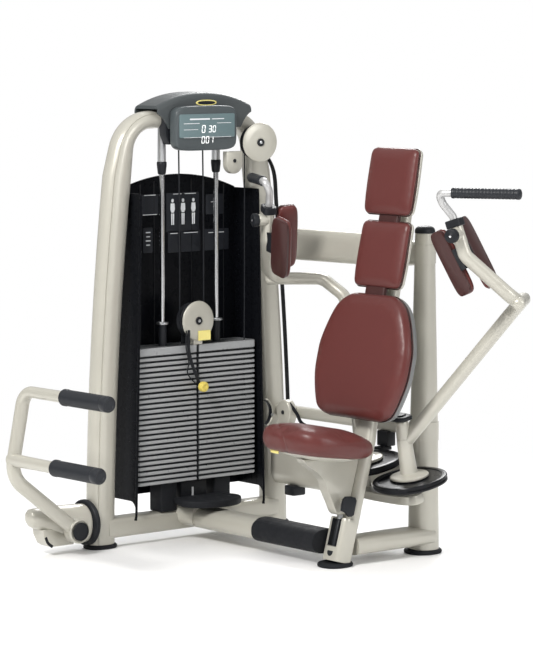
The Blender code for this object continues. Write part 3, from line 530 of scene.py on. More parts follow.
def wire(name, points, radius, material, body, per_span=8, count=12):
    path = spline(points, per_span)
    side = Vector((0.31, 0.83, 0.46)).normalized()
    return add_piece(name, skin(tube(path, side, radius, radius, 2, count)), material, body)


# ---------------------------------------------------------------- weight tower


def post_offset(z):
    """Distance of a tower post's axis from the tower's middle."""
    return 0.372 - 0.006 * z - 0.046 * z * z


def tower():
    """The arch of the tower and the beam between its feet."""
    top = 1.412
    heights = [FOOT_H, 0.12, 0.25, 0.4, 0.55, 0.7, 0.85, 1.0, 1.12]
    side = [(TOWER_X, post_offset(z), z) for z in heights]
    corner = [(TOWER_X, post_offset(1.22), 1.22), (TOWER_X, 0.262, top - 0.014), (TOWER_X, 0.0, top)]
    path = side + [tuple(p) for p in rounded(corner, 0.12, 14)]
    path += [(x, -y, z) for x, y, z in reversed(path[:-1])]
    wide = [POST_W / 2 - 0.02 * clamp((z - 1.22) / 0.19) for _, _, z in path]
    grooves = ((38.0, 0.055), (142.0, 0.055))
    arch = skin(tube(path, X, POST_D / 2, wide, 2.2, 56, grooves=grooves))
    beam_path = [(TOWER_X + 0.006, y, 0.065) for y in (-0.365, -0.18, 0.0, 0.18, 0.365)]
    beam = skin(tube(beam_path, X, 0.036, 0.034, 4, 40))
    add_piece("tower_painted", merge(arch, beam), PAINT, "frame", "tower_frame")
    for name in ("tower_foot_front", "tower_foot_rear", "seat_post_foot", "rear_column_foot"):
        floor_foot(name)


def floor_foot(node):
    """A black floor pad with a lip that steps in below the post."""
    centre, half = middle_of(node)
    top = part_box(node)[1].z
    rings = []
    sections = (
        (0.0, 0.93), (0.12, 0.98), (0.35, 1.0), (0.6, 1.0), (0.78, 0.985), (0.86, 0.95), (1.0, 0.93)
    )
    for share, scale in sections:
        rings.append(oval((centre.x, centre.y, top * share), X, Y, half.x * scale, half.y * scale, 2.3, 56))
    add_piece(node + "_pad", skin(rings), RUBBER, BODY_OF[node], node)


def shroud_half(z):
    return 0.279 - 0.029 * z / 1.2


def shroud():
    """The guard round the stack: the CAD sheet, with lips on its edges, fold lines and printed panels."""
    node = NODES["stack_shroud"]
    node.data.materials.clear()
    node.data.materials.append(SHROUD)
    soften(node, 0.0012, 2)
    low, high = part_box("stack_shroud")
    for sign, label in ((-1, "front"), (1, "rear")):
        edge = [(high.x - 0.002, sign * (shroud_half(z) - 0.0025), z) for z in (0.1, 0.4, 0.8, 1.16)]
        lip = bar(spline(edge, 4), X, 0.0045, 0.004, 2, 12, (0.003, 0.003))
        add_piece(f"shroud_lip_{label}", lip, SHROUD, "frame")
    arch = []
    half = shroud_half(SHROUD_TOP)
    for i in range(25):
        t = 1 - 2 * i / 24
        arch.append((low.x + 0.003, t * half, SHROUD_TOP + 0.05 * (1 - t * t)))
    add_piece("shroud_top_lip", bar(arch, X, 0.0048, 0.0036, 2, 12, (0.003, 0.003)), SHROUD, "frame")
    inner = low.x + 0.0055
    for i, y in enumerate((-0.152, -0.094, 0.065, 0.12, 0.205)):
        fold = [(inner + 0.0005, y, z) for z in (0.22, 0.6, 1.0, SHROUD_TOP + 0.036 * (1 - (y / half) ** 2))]
        add_piece(f"shroud_fold_{i}", bar(fold, X, 0.0016, 0.0022, 2, 10, (0.001, 0.001)), GLOSS, "frame")
    panels = (
        (-0.112, 1.118, 0.036, 0.034), (-0.12, 1.0, 0.02, 0.042), (0.028, 1.088, 0.07, 0.066),
        (0.165, 1.11, 0.038, 0.034), (-0.01, 0.99, 0.026, 0.036), (0.062, 0.99, 0.042, 0.036),
        (0.172, 0.99, 0.055, 0.036),
    )
    for i, (y, z, half_w, half_h) in enumerate(panels):
        panel = sheet(rounded_outline(half_w, half_h, 0.004, (y, z)), inner, 0.0016, 0.0007)
        add_piece(f"shroud_panel_{i}", panel, PANEL, "frame")
    shroud_print(inner + 0.0017)


def shroud_print(face):
    """Generic exercise figures and plain bars in pale ink. None of it is lettering."""
    half_body = ((0.008, 1.119), (0.0095, 1.098), (0.005, 1.088))
    leg = ((0.0008, 1.085), (0.0015, 1.047), (0.0055, 1.047), (0.0065, 1.085))
    figures = []
    for i in range(3):
        y = -0.016 + 0.0445 * i
        body = [(y - u, z) for u, z in half_body] + [(y + u, z) for u, z in reversed(half_body)]
        left_leg = [(y - u, z) for u, z in reversed(leg)]
        limbs = [rounded_outline(0.005, 0.0062, 0.0049, (y, 1.128)), body, left_leg]
        limbs.append([(y + u, z) for u, z in leg])
        figures += [sheet(limb, face, 0.0006) for limb in limbs]
    strokes = (
        (0.005, 1.15, 0.018), (0.06, 1.15, 0.024), (0.165, 1.118, 0.016), (-0.112, 1.085, 0.03),
        (-0.112, 1.15, 0.024), (-0.01, 1.018, 0.016), (0.062, 1.018, 0.03), (0.172, 1.014, 0.034),
    )
    for y, z, half_w in strokes:
        figures.append(sheet(rounded_outline(half_w, 0.0011, 0.0008, (y, z), 2), face, 0.0005))
    for k in range(4):
        ring = rounded_outline(0.01 - 0.002 * (k % 2), 0.0018, 0.0014, (-0.12, 1.026 - 0.014 * k), 3)
        figures.append(sheet(ring, face, 0.0005))
    add_piece("shroud_print", merge(*figures), PRINT, "frame")


def cowl_top(t):
    return 1.492 - 0.042 * abs(t) ** 2.2


def cowl():
    """The cap over the arch: a smooth shell with a rounded top edge and ends that slant up and out."""
    low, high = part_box("top_cowl")
    x0, x1 = low.x, high.x
    half_y, middle_y, skirt_z = 0.198, 0.027, 1.374
    rings = []
    steps, wall, edge = 60, 0.007, 0.02
    for i in range(steps + 1):
        t = -1 + 2 * i / steps
        top = cowl_top(t)
        slant = max(0.0, (abs(t) - 0.78) / 0.22)
        skirt = skirt_z + (top - 0.026 - skirt_z) * slant ** 0.8
        under = top - 0.011
        y = middle_y + half_y * t
        points = [(x0, skirt), (x0 + wall, skirt), (x0 + wall, under)]
        points += [(x1 - wall, under), (x1 - wall, skirt), (x1, skirt)]
        for k in range(9):
            angle = math.pi / 2 * k / 8
            points.append((x1 - edge * (1 - math.cos(angle)), top - edge * (1 - math.sin(angle))))
        for k in range(9):
            angle = math.pi / 2 * (1 + k / 8)
            points.append((x0 + edge * (1 + math.cos(angle)), top - edge * (1 - math.sin(angle))))
        rings.append([Vector((x, y, z)) for x, z in points])
    add_piece("cowl_shell", skin(rings), GREY, "frame", "top_cowl")
    hood = [(-0.142, 1.412), (-0.136, 1.352), (-0.12, 1.322), (0.12, 1.322), (0.134, 1.352), (0.138, 1.412)]
    add_piece("console_hood", sheet(hood, x1 - 0.04, 0.034, 0.004), BLACK, "frame")


SEGMENTS = {"0": "abcdef", "1": "bc", "2": "abged", "3": "abgcd", "5": "afgcd", "7": "abc", "8": "abcdefg"}


def digit_bars(text, origin, height):
    """Slanted seven-segment digits in the plane of Y and Z."""
    w, t = height * 0.52, height * 0.13
    tall = height * 0.42
    spots = {
        "a": (0, height, w, t), "g": (0, height / 2, w, t), "d": (0, 0, w, t),
        "f": (-w / 2, height * 0.75, t, tall), "b": (w / 2, height * 0.75, t, tall),
        "e": (-w / 2, height * 0.25, t, tall), "c": (w / 2, height * 0.25, t, tall),
    }
    bars = []
    for i, letter in enumerate(text):
        for segment in SEGMENTS[letter]:
            u, v, width, length = spots[segment]
            centre = (origin[1] + i * height * 0.85 + u + v * 0.12, origin[2] + v)
            outline = rounded_outline(width / 2, length / 2, min(width, length) * 0.35, centre, 2)
            bars.append(sheet(outline, origin[0], 0.0008))
    return bars


def console():
    """The display: a case, a tinted window, digits and thin lines on it, and a plain badge above."""
    low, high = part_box("display_console")
    middle, half = middle_of("display_console")
    face = flat_oval(middle.y, middle.z, half.y, half.z, 6, 96)
    add_piece("console_case", sheet(face, low.x, high.x - low.x, 0.006), CONSOLE, "frame", "display_console")
    face_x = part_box("display_lens")[1].x
    window = rounded_outline(half.y * 0.9, 0.039, 0.006, (middle.y, middle.z + 0.008))
    glass = sheet(window, high.x - 0.0002, face_x - high.x, 0.0012)
    add_piece("display_window", glass, LENS, "frame", "display_lens")
    bars = digit_bars("0", (face_x, middle.y - 0.018, middle.z - 0.014), 0.023)
    bars += digit_bars("30", (face_x, middle.y + 0.01, middle.z - 0.013), 0.02)
    bars += digit_bars("001", (face_x, middle.y - 0.02, middle.z - 0.049), 0.021)
    add_piece("display_digits", merge(*bars), DIGIT, "frame")
    lines = []
    strokes = (
        (0.03, -0.075, 0.01, 0.0026), (0.03, 0.018, 0.07, 0.0014), (0.016, -0.1, -0.034, 0.001),
        (0.016, 0.04, 0.1, 0.0008), (-0.004, -0.1, -0.04, 0.0008), (-0.03, -0.1, 0.1, 0.0007),
    )
    for v, start, end, tall in strokes:
        centre = (middle.y + (start + end) / 2, middle.z + v)
        lines.append(sheet(rounded_outline((end - start) / 2, tall, tall * 0.8, centre, 2), face_x, 0.0006))
    add_piece("display_lines", merge(*lines), PRINT, "frame")
    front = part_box("top_cowl")[1].x
    badge_y, badge_z = 0.031, 1.4575
    badge = flat_oval(badge_y, badge_z, 0.044, 0.0095, 2.4)
    add_piece("plain_badge", sheet(badge, front - 0.0155, 0.0165, 0.001), LABEL, "frame")
    inset = flat_oval(badge_y, badge_z, 0.037, 0.0058, 2.4)
    add_piece("plain_badge_inset", sheet(inset, front + 0.0008, 0.0008), BLACK, "frame")


def guide_rods():
    for label in ("front", "rear"):
        node = f"guide_rod_{label}"
        low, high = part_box(node)
        centre = middle_of(node)[0] * Vector((1, 1, 0))
        rod = [(low.z, 0.0085), (high.z - 0.11, 0.0085)]
        sleeve = edge_profile(1.262, high.z + 0.055, 0.014, 0.0012)
        add_piece(f"rod_{label}", lathe(centre, Z, rod), CHROME, "frame", node)
        add_piece(f"rod_sleeve_{label}", lathe(centre, Z, sleeve), STEEL, "frame")
        bush = [(1.222, 0.011), (1.226, 0.0135), (1.252, 0.0165), (1.262, 0.0165), (1.2645, 0.015)]
        add_piece(f"rod_bush_{label}", lathe(centre, Z, bush), BLACK, "frame")


def stack_plate(front, back, half_y, low_z, high_z, edge):
    """One plate: a slab with a notch in the middle of its front edge."""
    notch_w, notch_d, cut = 0.0065, 0.01, 0.006
    half = [(front - notch_d, notch_w), (front, notch_w), (front, half_y - cut), (front - cut, half_y)]
    half += [(back + cut, half_y), (back, half_y - cut)]
    outline = [(x, -y) for x, y in reversed(half)] + half

    def ring(z, inset):
        shrunk = []
        for x, y in outline:
            x_in = inset if x > (front + back) / 2 else -inset
            y_in = inset if y > 0 else -inset
            inner_notch = abs(y) < 0.02
            shrunk.append(Vector((x - x_in, y if inner_notch else y - y_in, z)))
        return shrunk

    return skin([ring(low_z, edge), ring(low_z + edge, 0), ring(high_z - edge, 0), ring(high_z, edge)])


def weight_stack():
    """Resting and lifted plates, the tubes and collars on the top plate, the buffers and the catch."""
    pitch, gap, top_plate = 0.0172, 0.007, 0.026
    for node, count in (("stack_resting", 18), ("stack_lifted", 7)):
        low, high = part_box(node)
        half_y = high.y
        plates = []
        z = low.z
        for _ in range(count):
            plates.append(stack_plate(high.x, low.x, half_y, z, z + pitch - gap, 0.0016))
            z += pitch
        if node == "stack_lifted":
            plates.append(stack_plate(high.x + 0.001, low.x, half_y, z, z + top_plate, 0.002))
        add_piece(node + "_plates", merge(*plates), PLATE, BODY_OF[node], node)
        # Painted shade: a black block inside the stack darkens the gaps between the plates.
        gap_shade_low = (low.x + 0.004, -half_y + 0.008, low.z + 0.001)
        gap_shade = block(gap_shade_low, (high.x - 0.01, half_y - 0.008, z - 0.002))
        add_piece(node + "_core", gap_shade, BLACK, BODY_OF[node])
    body = BODY_OF["stack_lifted"]
    plate_top = z + top_plate
    for label in ("front", "rear"):
        centre = middle_of(f"guide_rod_{label}")[0] * Vector((1, 1, 0))
        tube_profile = [(plate_top - 0.002, 0.014), (plate_top + 0.072, 0.014), (plate_top + 0.073, 0.012)]
        add_piece(f"guide_tube_{label}", lathe(centre, Z, tube_profile), BLACK, body)
        collar = edge_profile(plate_top + 0.071, plate_top + 0.079, 0.0215, 0.0012)
        add_piece(f"guide_collar_{label}", lathe(centre, Z, collar), STEEL, body)
    pin()
    for node in ("stack_buffer_front", "stack_buffer_rear"):
        add_piece(node + "_block", block(*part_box(node), 0.005, 3), RUBBER, "frame", node)
    catch = block((TOWER_X - 0.02, -0.055, 0.1), (TOWER_X + 0.03, 0.055, 0.19), 0.003)
    add_piece("stack_catch", catch, BLACK, "frame")
    sticker = block((TOWER_X + 0.0295, -0.01, 0.128), (TOWER_X + 0.0312, -0.002, 0.17), 0.0005)
    add_piece("stack_catch_label", sticker, PRINT, "frame")


def pin():
    """The weight selector: a steel pin with a dished yellow knob."""
    low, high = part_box("selector_pin")
    start = Vector((low.x, 0, (low.z + high.z) / 2))
    length = high.x - low.x
    rod_profile = [(0.0, 0.0028), (0.003, 0.0042), (length - 0.018, 0.0042)]
    knob = (
        (0.02, 0.011), (0.0185, 0.016), (0.016, 0.0175), (0.006, 0.0175), (0.002, 0.016), (0, 0.0125),
        (0, 0.0075), (0.0012, 0.0068), (0.0012, 0.001),
    )
    add_piece("selector_rod", lathe(start, X, rod_profile), CHROME, "selector")
    knob_profile = [(length - back, radius) for back, radius in knob]
    add_piece("selector_knob", lathe(start, X, knob_profile), YELLOW, "selector", "selector_pin")


def cover_disc(name, centre, axis, offset, node, radius):
    """A round pulley cover: a dished disc with a dark hub bolt."""
    parts = (
        ("", 72, PAINT, (
            (0, radius - 0.004), (0.0015, radius - 0.0008), (0.004, radius), (0.0062, radius - 0.0012),
            (0.0078, radius - 0.0045), (0.0086, radius * 0.55), (0.0088, 0.016), (0.008, 0.015),
            (0.008, 0.001),
        )),
        ("_hub", 36, BLACK, (
            (0.006, 0.013), (0.0108, 0.013), (0.0118, 0.012), (0.0118, 0.009), (0.01, 0.008),
            (0.01, 0.001),
        )),
        ("_bolt", 6, STEEL, ((0.0095, 0.006), (0.0125, 0.0056), (0.013, 0.004), (0.013, 0.0005))),
    )
    for suffix, count, material, profile in parts:
        turned = lathe(centre, axis, [(offset + d, r) for d, r in profile], count)
        add_piece(name + suffix, turned, material, BODY_OF[node], *([] if suffix else [node]))
    axle = [(-0.022, 0.008), (offset + 0.004, 0.008)]
    add_piece(name + "_axle", lathe(centre, axis, axle, 24), STEEL, BODY_OF[node])


def grooved_wheel(name, centre, axis, radius, half, node):
    """A cable wheel with a round groove and a web with lightening pockets."""
    side = [(half, 0.0092), (half, radius * 0.26), (half * 0.5, radius * 0.3), (half * 0.5, radius * 0.8)]
    side += [(half, radius * 0.86), (half, radius - 0.002), (half - 0.002, radius)]
    side += [(half - 0.004, radius), (0.004, radius - 0.008)]
    profile = [(-d, r) for d, r in side] + list(reversed(side))
    add_piece(name, lathe(centre, axis, profile, 64), BLACK, BODY_OF[node], node)
    across = Vector(axis).orthogonal().normalized()
    other = Vector(axis).normalized().cross(across)
    for i in range(6):
        angle = i * math.pi / 3
        spot = Vector(centre) + (across * math.cos(angle) + other * math.sin(angle)) * radius * 0.55
        stud = [(-half * 0.7, radius * 0.1), (half * 0.7, radius * 0.1), (half * 0.75, radius * 0.07)]
        add_piece(f"{name}_stud_{i}", lathe(spot, axis, stud, 16), BLACK, BODY_OF[node])


def pulleys():
    """The moving wheel over the stack, the wheel under the arch and the shield of the idler."""
    stack_wheel()
    axis = Vector(JOINTS["top_wheel_spin"]["axis"])
    centre = Vector(JOINTS["top_wheel_spin"]["pos_m"])
    grooved_wheel("top_wheel_turned", centre, axis, 0.058, 0.0125, "upper_pulley_wheel")
    cover_disc("upper_pulley_disc", centre, axis, 0.02, "upper_pulley_cover", 0.066)
    arm_low = centre + Vector((-0.045, -0.012, -0.014))
    add_piece(
        "upper_pulley_arm", block(arm_low, centre + Vector((-0.034, 0.05, 0.014)), 0.003), PAINT, "frame"
    )

    low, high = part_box("idler_cover")
    middle, half = middle_of("idler_cover")
    shield = [
        (half.y * math.cos(angle), -half.z * 0.15 + half.z * 0.85 * math.sin(angle))
        for angle in [math.pi * (1 + i / 12) for i in range(13)]
    ]
    shield += [(half.y, half.z), (-half.y, half.z)]
    body = plate_between(shield, (low.x, middle.y, middle.z), Y, Z, high.x - low.x, 0.004)
    add_piece("idler_shield", body, PAINT, "frame", "idler_cover")
    spot = Vector((high.x, middle.y, middle.z + 0.006))
    bolt = [(-0.001, 0.0065), (0.002, 0.0062), (0.003, 0.005), (0.003, 0.0005)]
    add_piece("idler_bolt", lathe(spot, X, bolt, 24), BLACK, "frame")


def stack_wheel():
    """The wheel that rises with the stack, its cover, and the yoke that holds both."""
    centre = middle_of("stack_pulley_wheel")[0]
    centre.x = JOINTS["stack_wheel_spin"]["pos_m"][0]
    grooved_wheel("stack_wheel_turned", centre, X, 0.057, 0.013, "stack_pulley_wheel")
    cover_disc("stack_pulley_disc", centre, X, 0.03, "stack_pulley_cover", 0.066)
    body = BODY_OF["stack_pulley_cover"]
    plate_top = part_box("stack_lifted")[1].z - 0.082
    yoke = [(-0.03, 0.0), (0.03, 0.0), (0.026, 0.034), (0.014, 0.08), (-0.014, 0.08), (-0.026, 0.034)]
    cheek = plate_between(yoke, (centre.x - 0.0225, centre.y, plate_top), Y, Z, 0.005, 0.001)
    add_piece("stack_pulley_cheek", cheek, BLACK, body)
    lug = block((centre.x + 0.014, -0.02, plate_top), (centre.x + 0.033, 0.018, plate_top + 0.026), 0.002)
    add_piece("stack_pulley_lug", lug, PAINT, body)
    label = rounded_outline(0.026, 0.0165, 0.002, (0.02, plate_top + 0.03))
    add_piece("stack_pulley_label", sheet(label, centre.x + 0.04, 0.0012), LABEL, body)


def cables():
    """Black cables from the moving pulley to the console."""
    top_z = 1.365
    low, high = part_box("stack_pulley_wheel")
    centre_z = (low.z + high.z) / 2
    centre_x = JOINTS["stack_wheel_spin"]["pos_m"][0]
    for i, y in enumerate((low.y + 0.006, high.y - 0.006)):
        points = [
            (centre_x, y, centre_z), (centre_x, y, (centre_z + top_z) / 2), (centre_x - 0.004, y, top_z)
        ]
        cable = wire(f"lift_cable_{i}", points, 0.0026, BLACK, "frame", 10)
        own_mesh(cable)
    side = [(-0.7, 0.205, 1.3), (-0.702, 0.206, 0.9), (-0.705, 0.207, 0.6), (-0.702, 0.207, 0.42)]
    wire("side_cable", side, 0.0022, BLACK, "frame")
    cover_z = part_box("stack_pulley_cover")[0].z
    knob_z = middle_of("selector_pin")[0].z
    strap = [
        (-0.69, -0.044, cover_z + 0.05), (-0.684, -0.05, cover_z - 0.005), (-0.682, -0.04, knob_z + 0.085),
        (-0.682, -0.018, knob_z + 0.035), (-0.686, -0.004, knob_z + 0.012),
    ]
    band = bar(spline(strap), Y, 0.0062, 0.0018, 3, 16, (0.001, 0.001))
    add_piece("selector_strap", band, BLACK, "weight_stack_lifted")
    second = [Vector(p) + Vector((0.002, -0.012, 0.0)) for p in strap[:3]]
    second += [
        (-0.684, -0.055, knob_z + 0.05), (-0.686, -0.03, knob_z + 0.02), (-0.688, -0.008, knob_z + 0.008)
    ]
    wire("selector_cord", second, 0.0022, BLACK, "weight_stack_lifted")


def belts():
    """Flat belts that run down beside the rear post, and the lower pulley they turn on."""
    outer = [(TOWER_X + 0.03, 0.2985, 1.3)]
    for z in (1.22, 1.1, 0.9, 0.7, 0.5, 0.38):
        outer.append((TOWER_X + 0.03, post_offset(z) + POST_W / 2 + 0.004, z))
    add_piece("outer_belt", bar(spline(outer, 6), X, 0.01, 0.0016, 4, 16), BLACK, "frame")
    centre = Vector((TOWER_X + 0.062, 0.262, 0.4))

    def arc(radius, first, last):
        angles = arc_angles(first, last, 14)
        return [centre + Y * radius * math.cos(angle) + Z * radius * math.sin(angle) for angle in angles]

    guide = bar(arc(0.052, 62, -56), X, 0.009, 0.003, 3, 16, (0.002, 0.002))
    add_piece("lower_guide_arc", guide, PAINT, "frame")
    add_piece("lower_guide_belt", bar(arc(0.047, 64, -58), X, 0.008, 0.0016, 3, 14), BLACK, "frame")
    screw = lathe(centre + Vector((0.008, 0.046, -0.008)), X, edge_profile(0.0, 0.006, 0.005, 0.001), 24)
    add_piece("lower_guide_screw", screw, STEEL, "frame")

    low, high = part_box("belt_pulley_cover")
    middle, half = middle_of("belt_pulley_cover")
    outline = flat_oval(0, 0, half.x, half.z, 2.2, 56)
    shell = plate_between(outline, Vector((middle.x, high.y, middle.z)), X, Z, high.y - low.y, 0.006)
    add_piece("belt_pulley_shell", shell, PAINT, "frame", "belt_pulley_cover")
    spot = Vector((middle.x, low.y, middle.z + 0.004))
    bolt = [(-0.001, 0.007), (0.003, 0.0065), (0.004, 0.005), (0.004, 0.0005)]
    add_piece("belt_pulley_bolt", lathe(spot, -Y, bolt, 24), BLACK, "frame")
    run = [
        (middle.x + 0.02, middle.y - 0.004, high.z - 0.012), (
            middle.x + 0.055, middle.y - 0.002, middle.z + 0.004
        ),
        (middle.x + 0.085, middle.y + 0.004, middle.z - 0.032), (-0.46, 0.36, 0.352), (-0.3, 0.352, 0.345),
    ]
    add_piece("long_belt", bar(spline(run), Y, 0.0016, 0.0075, 4, 16), BLACK, "frame")


# ---------------------------------------------------------------- floor frame and rear frame


def floor_frame():
    """The floor beam with the collar at its root, its ribbed mat and the step plate."""
    low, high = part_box("floor_beam")
    middle, half = middle_of("floor_beam")
    path = [(x, 0, middle.z) for x in (low.x - 0.02, -0.5, -0.3, high.x - 0.004)]
    add_piece("floor_beam_tube", bar(path, Y, half.y * 0.96, half.z, 2.5, 64), PAINT, "frame", "floor_beam")
    saddle = spline([(low.x - 0.012, 0, 0.085), (low.x + 0.02, 0, 0.083), (low.x + 0.055, 0, 0.08)], 5)
    wide = [0.085 - 0.024 * i / 10 for i in range(11)]
    tall = [0.04 - 0.003 * i / 10 for i in range(11)]
    add_piece("floor_beam_collar", bar(saddle, Y, wide, tall, 3.2, 48), PAINT, "frame")
    floor_mat()

    low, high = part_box("step_plate")
    depth, half_y = high.x - low.x, high.y
    outline = []
    for i in range(25):
        angle = -math.pi / 2 + math.pi * i / 24
        outline.append((low.x + depth * 0.42 + depth * 0.58 * math.cos(angle), half_y * math.sin(angle)))
    outline += [(low.x, half_y * 0.8), (low.x, -half_y * 0.8)]
    top = plate_between(outline, (0, 0, low.z), X, Y, high.z - low.z, 0.006)
    add_piece("step_tread", top, RUBBER, "frame", "step_plate")


def floor_mat():
    """The black sleeve on the floor beam, with three ribs along its top."""
    low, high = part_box("floor_beam_mat")
    middle, half = middle_of("floor_beam_mat")
    rings = []
    for share, scale in ((0.0, 0.93), (0.01, 0.985), (0.025, 1.0), (0.5, 1.0), (0.985, 1.0), (1.0, 0.98)):
        x = low.x + (high.x - low.x) * share
        ring = oval((x, 0, middle.z), Y, Z, half.y * 0.94 * scale, half.z * scale, 2.4, 64)
        if share < 0.02:
            ring = [p + X * (0.016 - 0.02 * (1 - (p.y / half.y) ** 2)) for p in ring]
        rings.append(ring)
    add_piece("floor_beam_sleeve", skin(rings), RUBBER, "frame", "floor_beam_mat")
    rib_z = high.z - 0.0008
    for i in range(3):
        y = (i - 1) * 0.012
        rib_low = (low.x + 0.035, y - 0.0022, rib_z - 0.002)
        rib = block(rib_low, (high.x - 0.012, y + 0.0022, rib_z + 0.001), 0.0008)
        add_piece(f"floor_beam_rib_{i}", rib, RUBBER, "frame")


def rear_frame():
    """The tapered rear column with its foot beam and its cap, and the beams that join it to the tower."""
    low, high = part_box("rear_column")
    cap_low, cap_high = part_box("rear_column_cap")
    centre_y = (cap_low.y + cap_high.y) / 2
    sections = (
        (low.z, 0.049), (0.15, 0.0478), (0.4, 0.045), (0.6, 0.0405), (0.8, 0.036), (0.95, 0.033),
        (high.z, 0.031),
    )
    rings = [oval((0, centre_y, z), X, Y, half, half * 0.95, 2.4, 56) for z, half in sections]
    foot = ((0.06, 0.06, 0.048, 0.03), (0.15, 0.06, 0.051, 0.03), (0.25, 0.0595, 0.054, 0.0295))
    foot += ((0.33, 0.059, 0.0565, 0.0285), (0.386, 0.0585, 0.056, 0.0275))
    path = [(0, y, z) for y, z, _, _ in foot]
    half_x, half_z = [section[2] for section in foot], [section[3] for section in foot]
    beam = bar(path, X, half_x, half_z, 3.2, 64, (0, 0.022))
    add_piece("rear_column_tube", merge(skin(rings), beam), PAINT, "frame", "rear_column")
    cap = []
    sections = ((0.0, 1.0), (0.15, 1.02), (0.45, 1.0), (0.68, 0.9), (0.85, 0.72), (0.95, 0.45), (1.0, 0.12))
    for share, scale in sections:
        half = (cap_high.x - cap_low.x) / 2 * scale
        z = cap_low.z + (cap_high.z - cap_low.z) * share
        cap.append(oval((0, centre_y, z), X, Y, half, half, 2.2, 56))
    add_piece("rear_column_dome", skin(cap), BLACK, "frame", "rear_column_cap")
    beams()


def beam_path(first, last, start_y, end_y, z):
    """Axis of a beam, which swings in towards the column over the first five eighths of its length."""
    steps = [i / 12 for i in range(13)]
    return [(first + (last - first) * t, start_y + (end_y - start_y) * min(1.0, t * 1.6), z) for t in steps]


def beams():
    """Three beams from the tower's rear post to the rear column."""
    end_y = 0.381
    specs = (
        ("upper_beam", 0.978, 0.053, 0.026, 0.034, 3.0),
        ("middle_beam", 0.402, 0.02, 0.018, 0.018, 3.0),
        ("lower_beam", 0.225, 0.078, 0.036, 0.07, 3.2),
    )
    for node, centre_z, half_h, half_d, end_half, power in specs:
        low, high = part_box(node)
        start_y = post_offset(centre_z) + 0.004
        path = beam_path(low.x - 0.02, high.x + 0.035, start_y, end_y, centre_z)
        tall = [half_h + (end_half - half_h) * max(0.0, (i / 12 - 0.75) / 0.25) for i in range(13)]
        add_piece(node + "_tube", bar(path, Y, half_d, tall, power, 48), PAINT, "frame", node)
    for z, half in ((0.978, 0.0355), (0.402, 0.0475)):
        path = [(0, end_y + 0.002, z + d) for d in (-0.03, 0, 0.03)]
        add_piece(f"column_collar_{int(z * 1000)}", bar(path, X, half, half * 0.96, 2.3, 48), PAINT, "frame")
    clips = (
        ("middle_beam_bracket", (-0.195, 0.352, 0.335), (-0.145, 0.392, 0.386), 0.004),
        ("middle_beam_clip", (-0.19, 0.33, 0.322), (-0.15, 0.38, 0.334), 0.003),
        ("lower_beam_bumper", (-0.64, 0.33, 0.118), (-0.59, 0.385, 0.152), 0.005),
    )
    for name, low, high, edge in clips:
        add_piece(name, block(low, high, edge), BLACK, "frame")


def post_point(station, out=0.0):
    return Vector((0, 0.004, FOOT_H)) + UP_BACK * station + OUT_BACK * out


def spine_path():
    """Axis of the seat post and of the spine above it, which grows more upright as it rises."""
    path = [post_point(station, -0.012) for station in (0.0, 0.2, 0.4, 0.47)]
    for length, degrees in SPINE_RUNS:
        path.append(path[-1] + leaning(degrees) * length)
    return path


def seat_post():
    """The post with the spine above it, its foot, the spring's tube and black panels of painted shade in the
    channel.
    """
    half_w = [0.043, 0.043, 0.043, 0.034, 0.031, 0.028, 0.026]
    half_d = [0.022, 0.022, 0.022, 0.02, 0.019, 0.018, 0.017]
    spine = bar(spine_path(), X, half_w, half_d, 3.0, 56, (0, 0.01))
    add_piece("seat_post_spine", spine, PAINT, "frame", "seat_post")
    add_piece("seat_post_base", post_base(), PAINT, "frame")
    low, high = post_point(0.047, 0.021), post_point(0.134, 0.021)
    length = (high - low).length
    profile = [(0, 0.0066), (0, 0.0095), (length - 0.002, 0.0095), (length, 0.0085), (length, 0.0066)]
    profile += [(0.004, 0.0064), (0.004, 0.0005)]
    add_piece("gas_tube", lathe(low, UP_BACK, profile, 32), BLACK, "frame", "gas_spring_tube")

    def panel(u0, u1, v0, v1, origin, across, up, thickness):
        outline = [(u0, v0), (u1, v0), (u1, v1), (u0, v1)]
        return plate_between(outline, origin, across, up, thickness)

    # Painted shade: thin black panels on the channel's walls darken the slot.
    back = panel(-0.0212, 0.0212, 0.0, 0.088, post_point(0.0485, 0.0092), X, UP_BACK, 0.0012)
    floor = panel(-0.0212, 0.0212, -0.012, 0.012, post_point(0.0462, 0.0215), X, OUT_BACK, 0.0012)
    cheeks = [
        panel(0.0098, 0.0312, 0.048, 0.134, post_point(0.0) + X * x, OUT_BACK, UP_BACK, 0.0009)
        for x in (-0.0214, 0.0205)
    ]
    add_piece("channel_painted_shade", merge(back, floor, *cheeks), BLACK, "frame")
    # Painted shade: a flat black half-oval on the post stands for the shade in a small recess.
    recess = [(u, v) for u, v in flat_oval(0, 0, 0.0125, 0.013, 2, 28) if v < 0.005]
    recess = plate_between(recess, post_point(0.026, 0.0335), X, UP_BACK, 0.0012)
    add_piece("post_recess_shade", recess, BLACK, "frame")


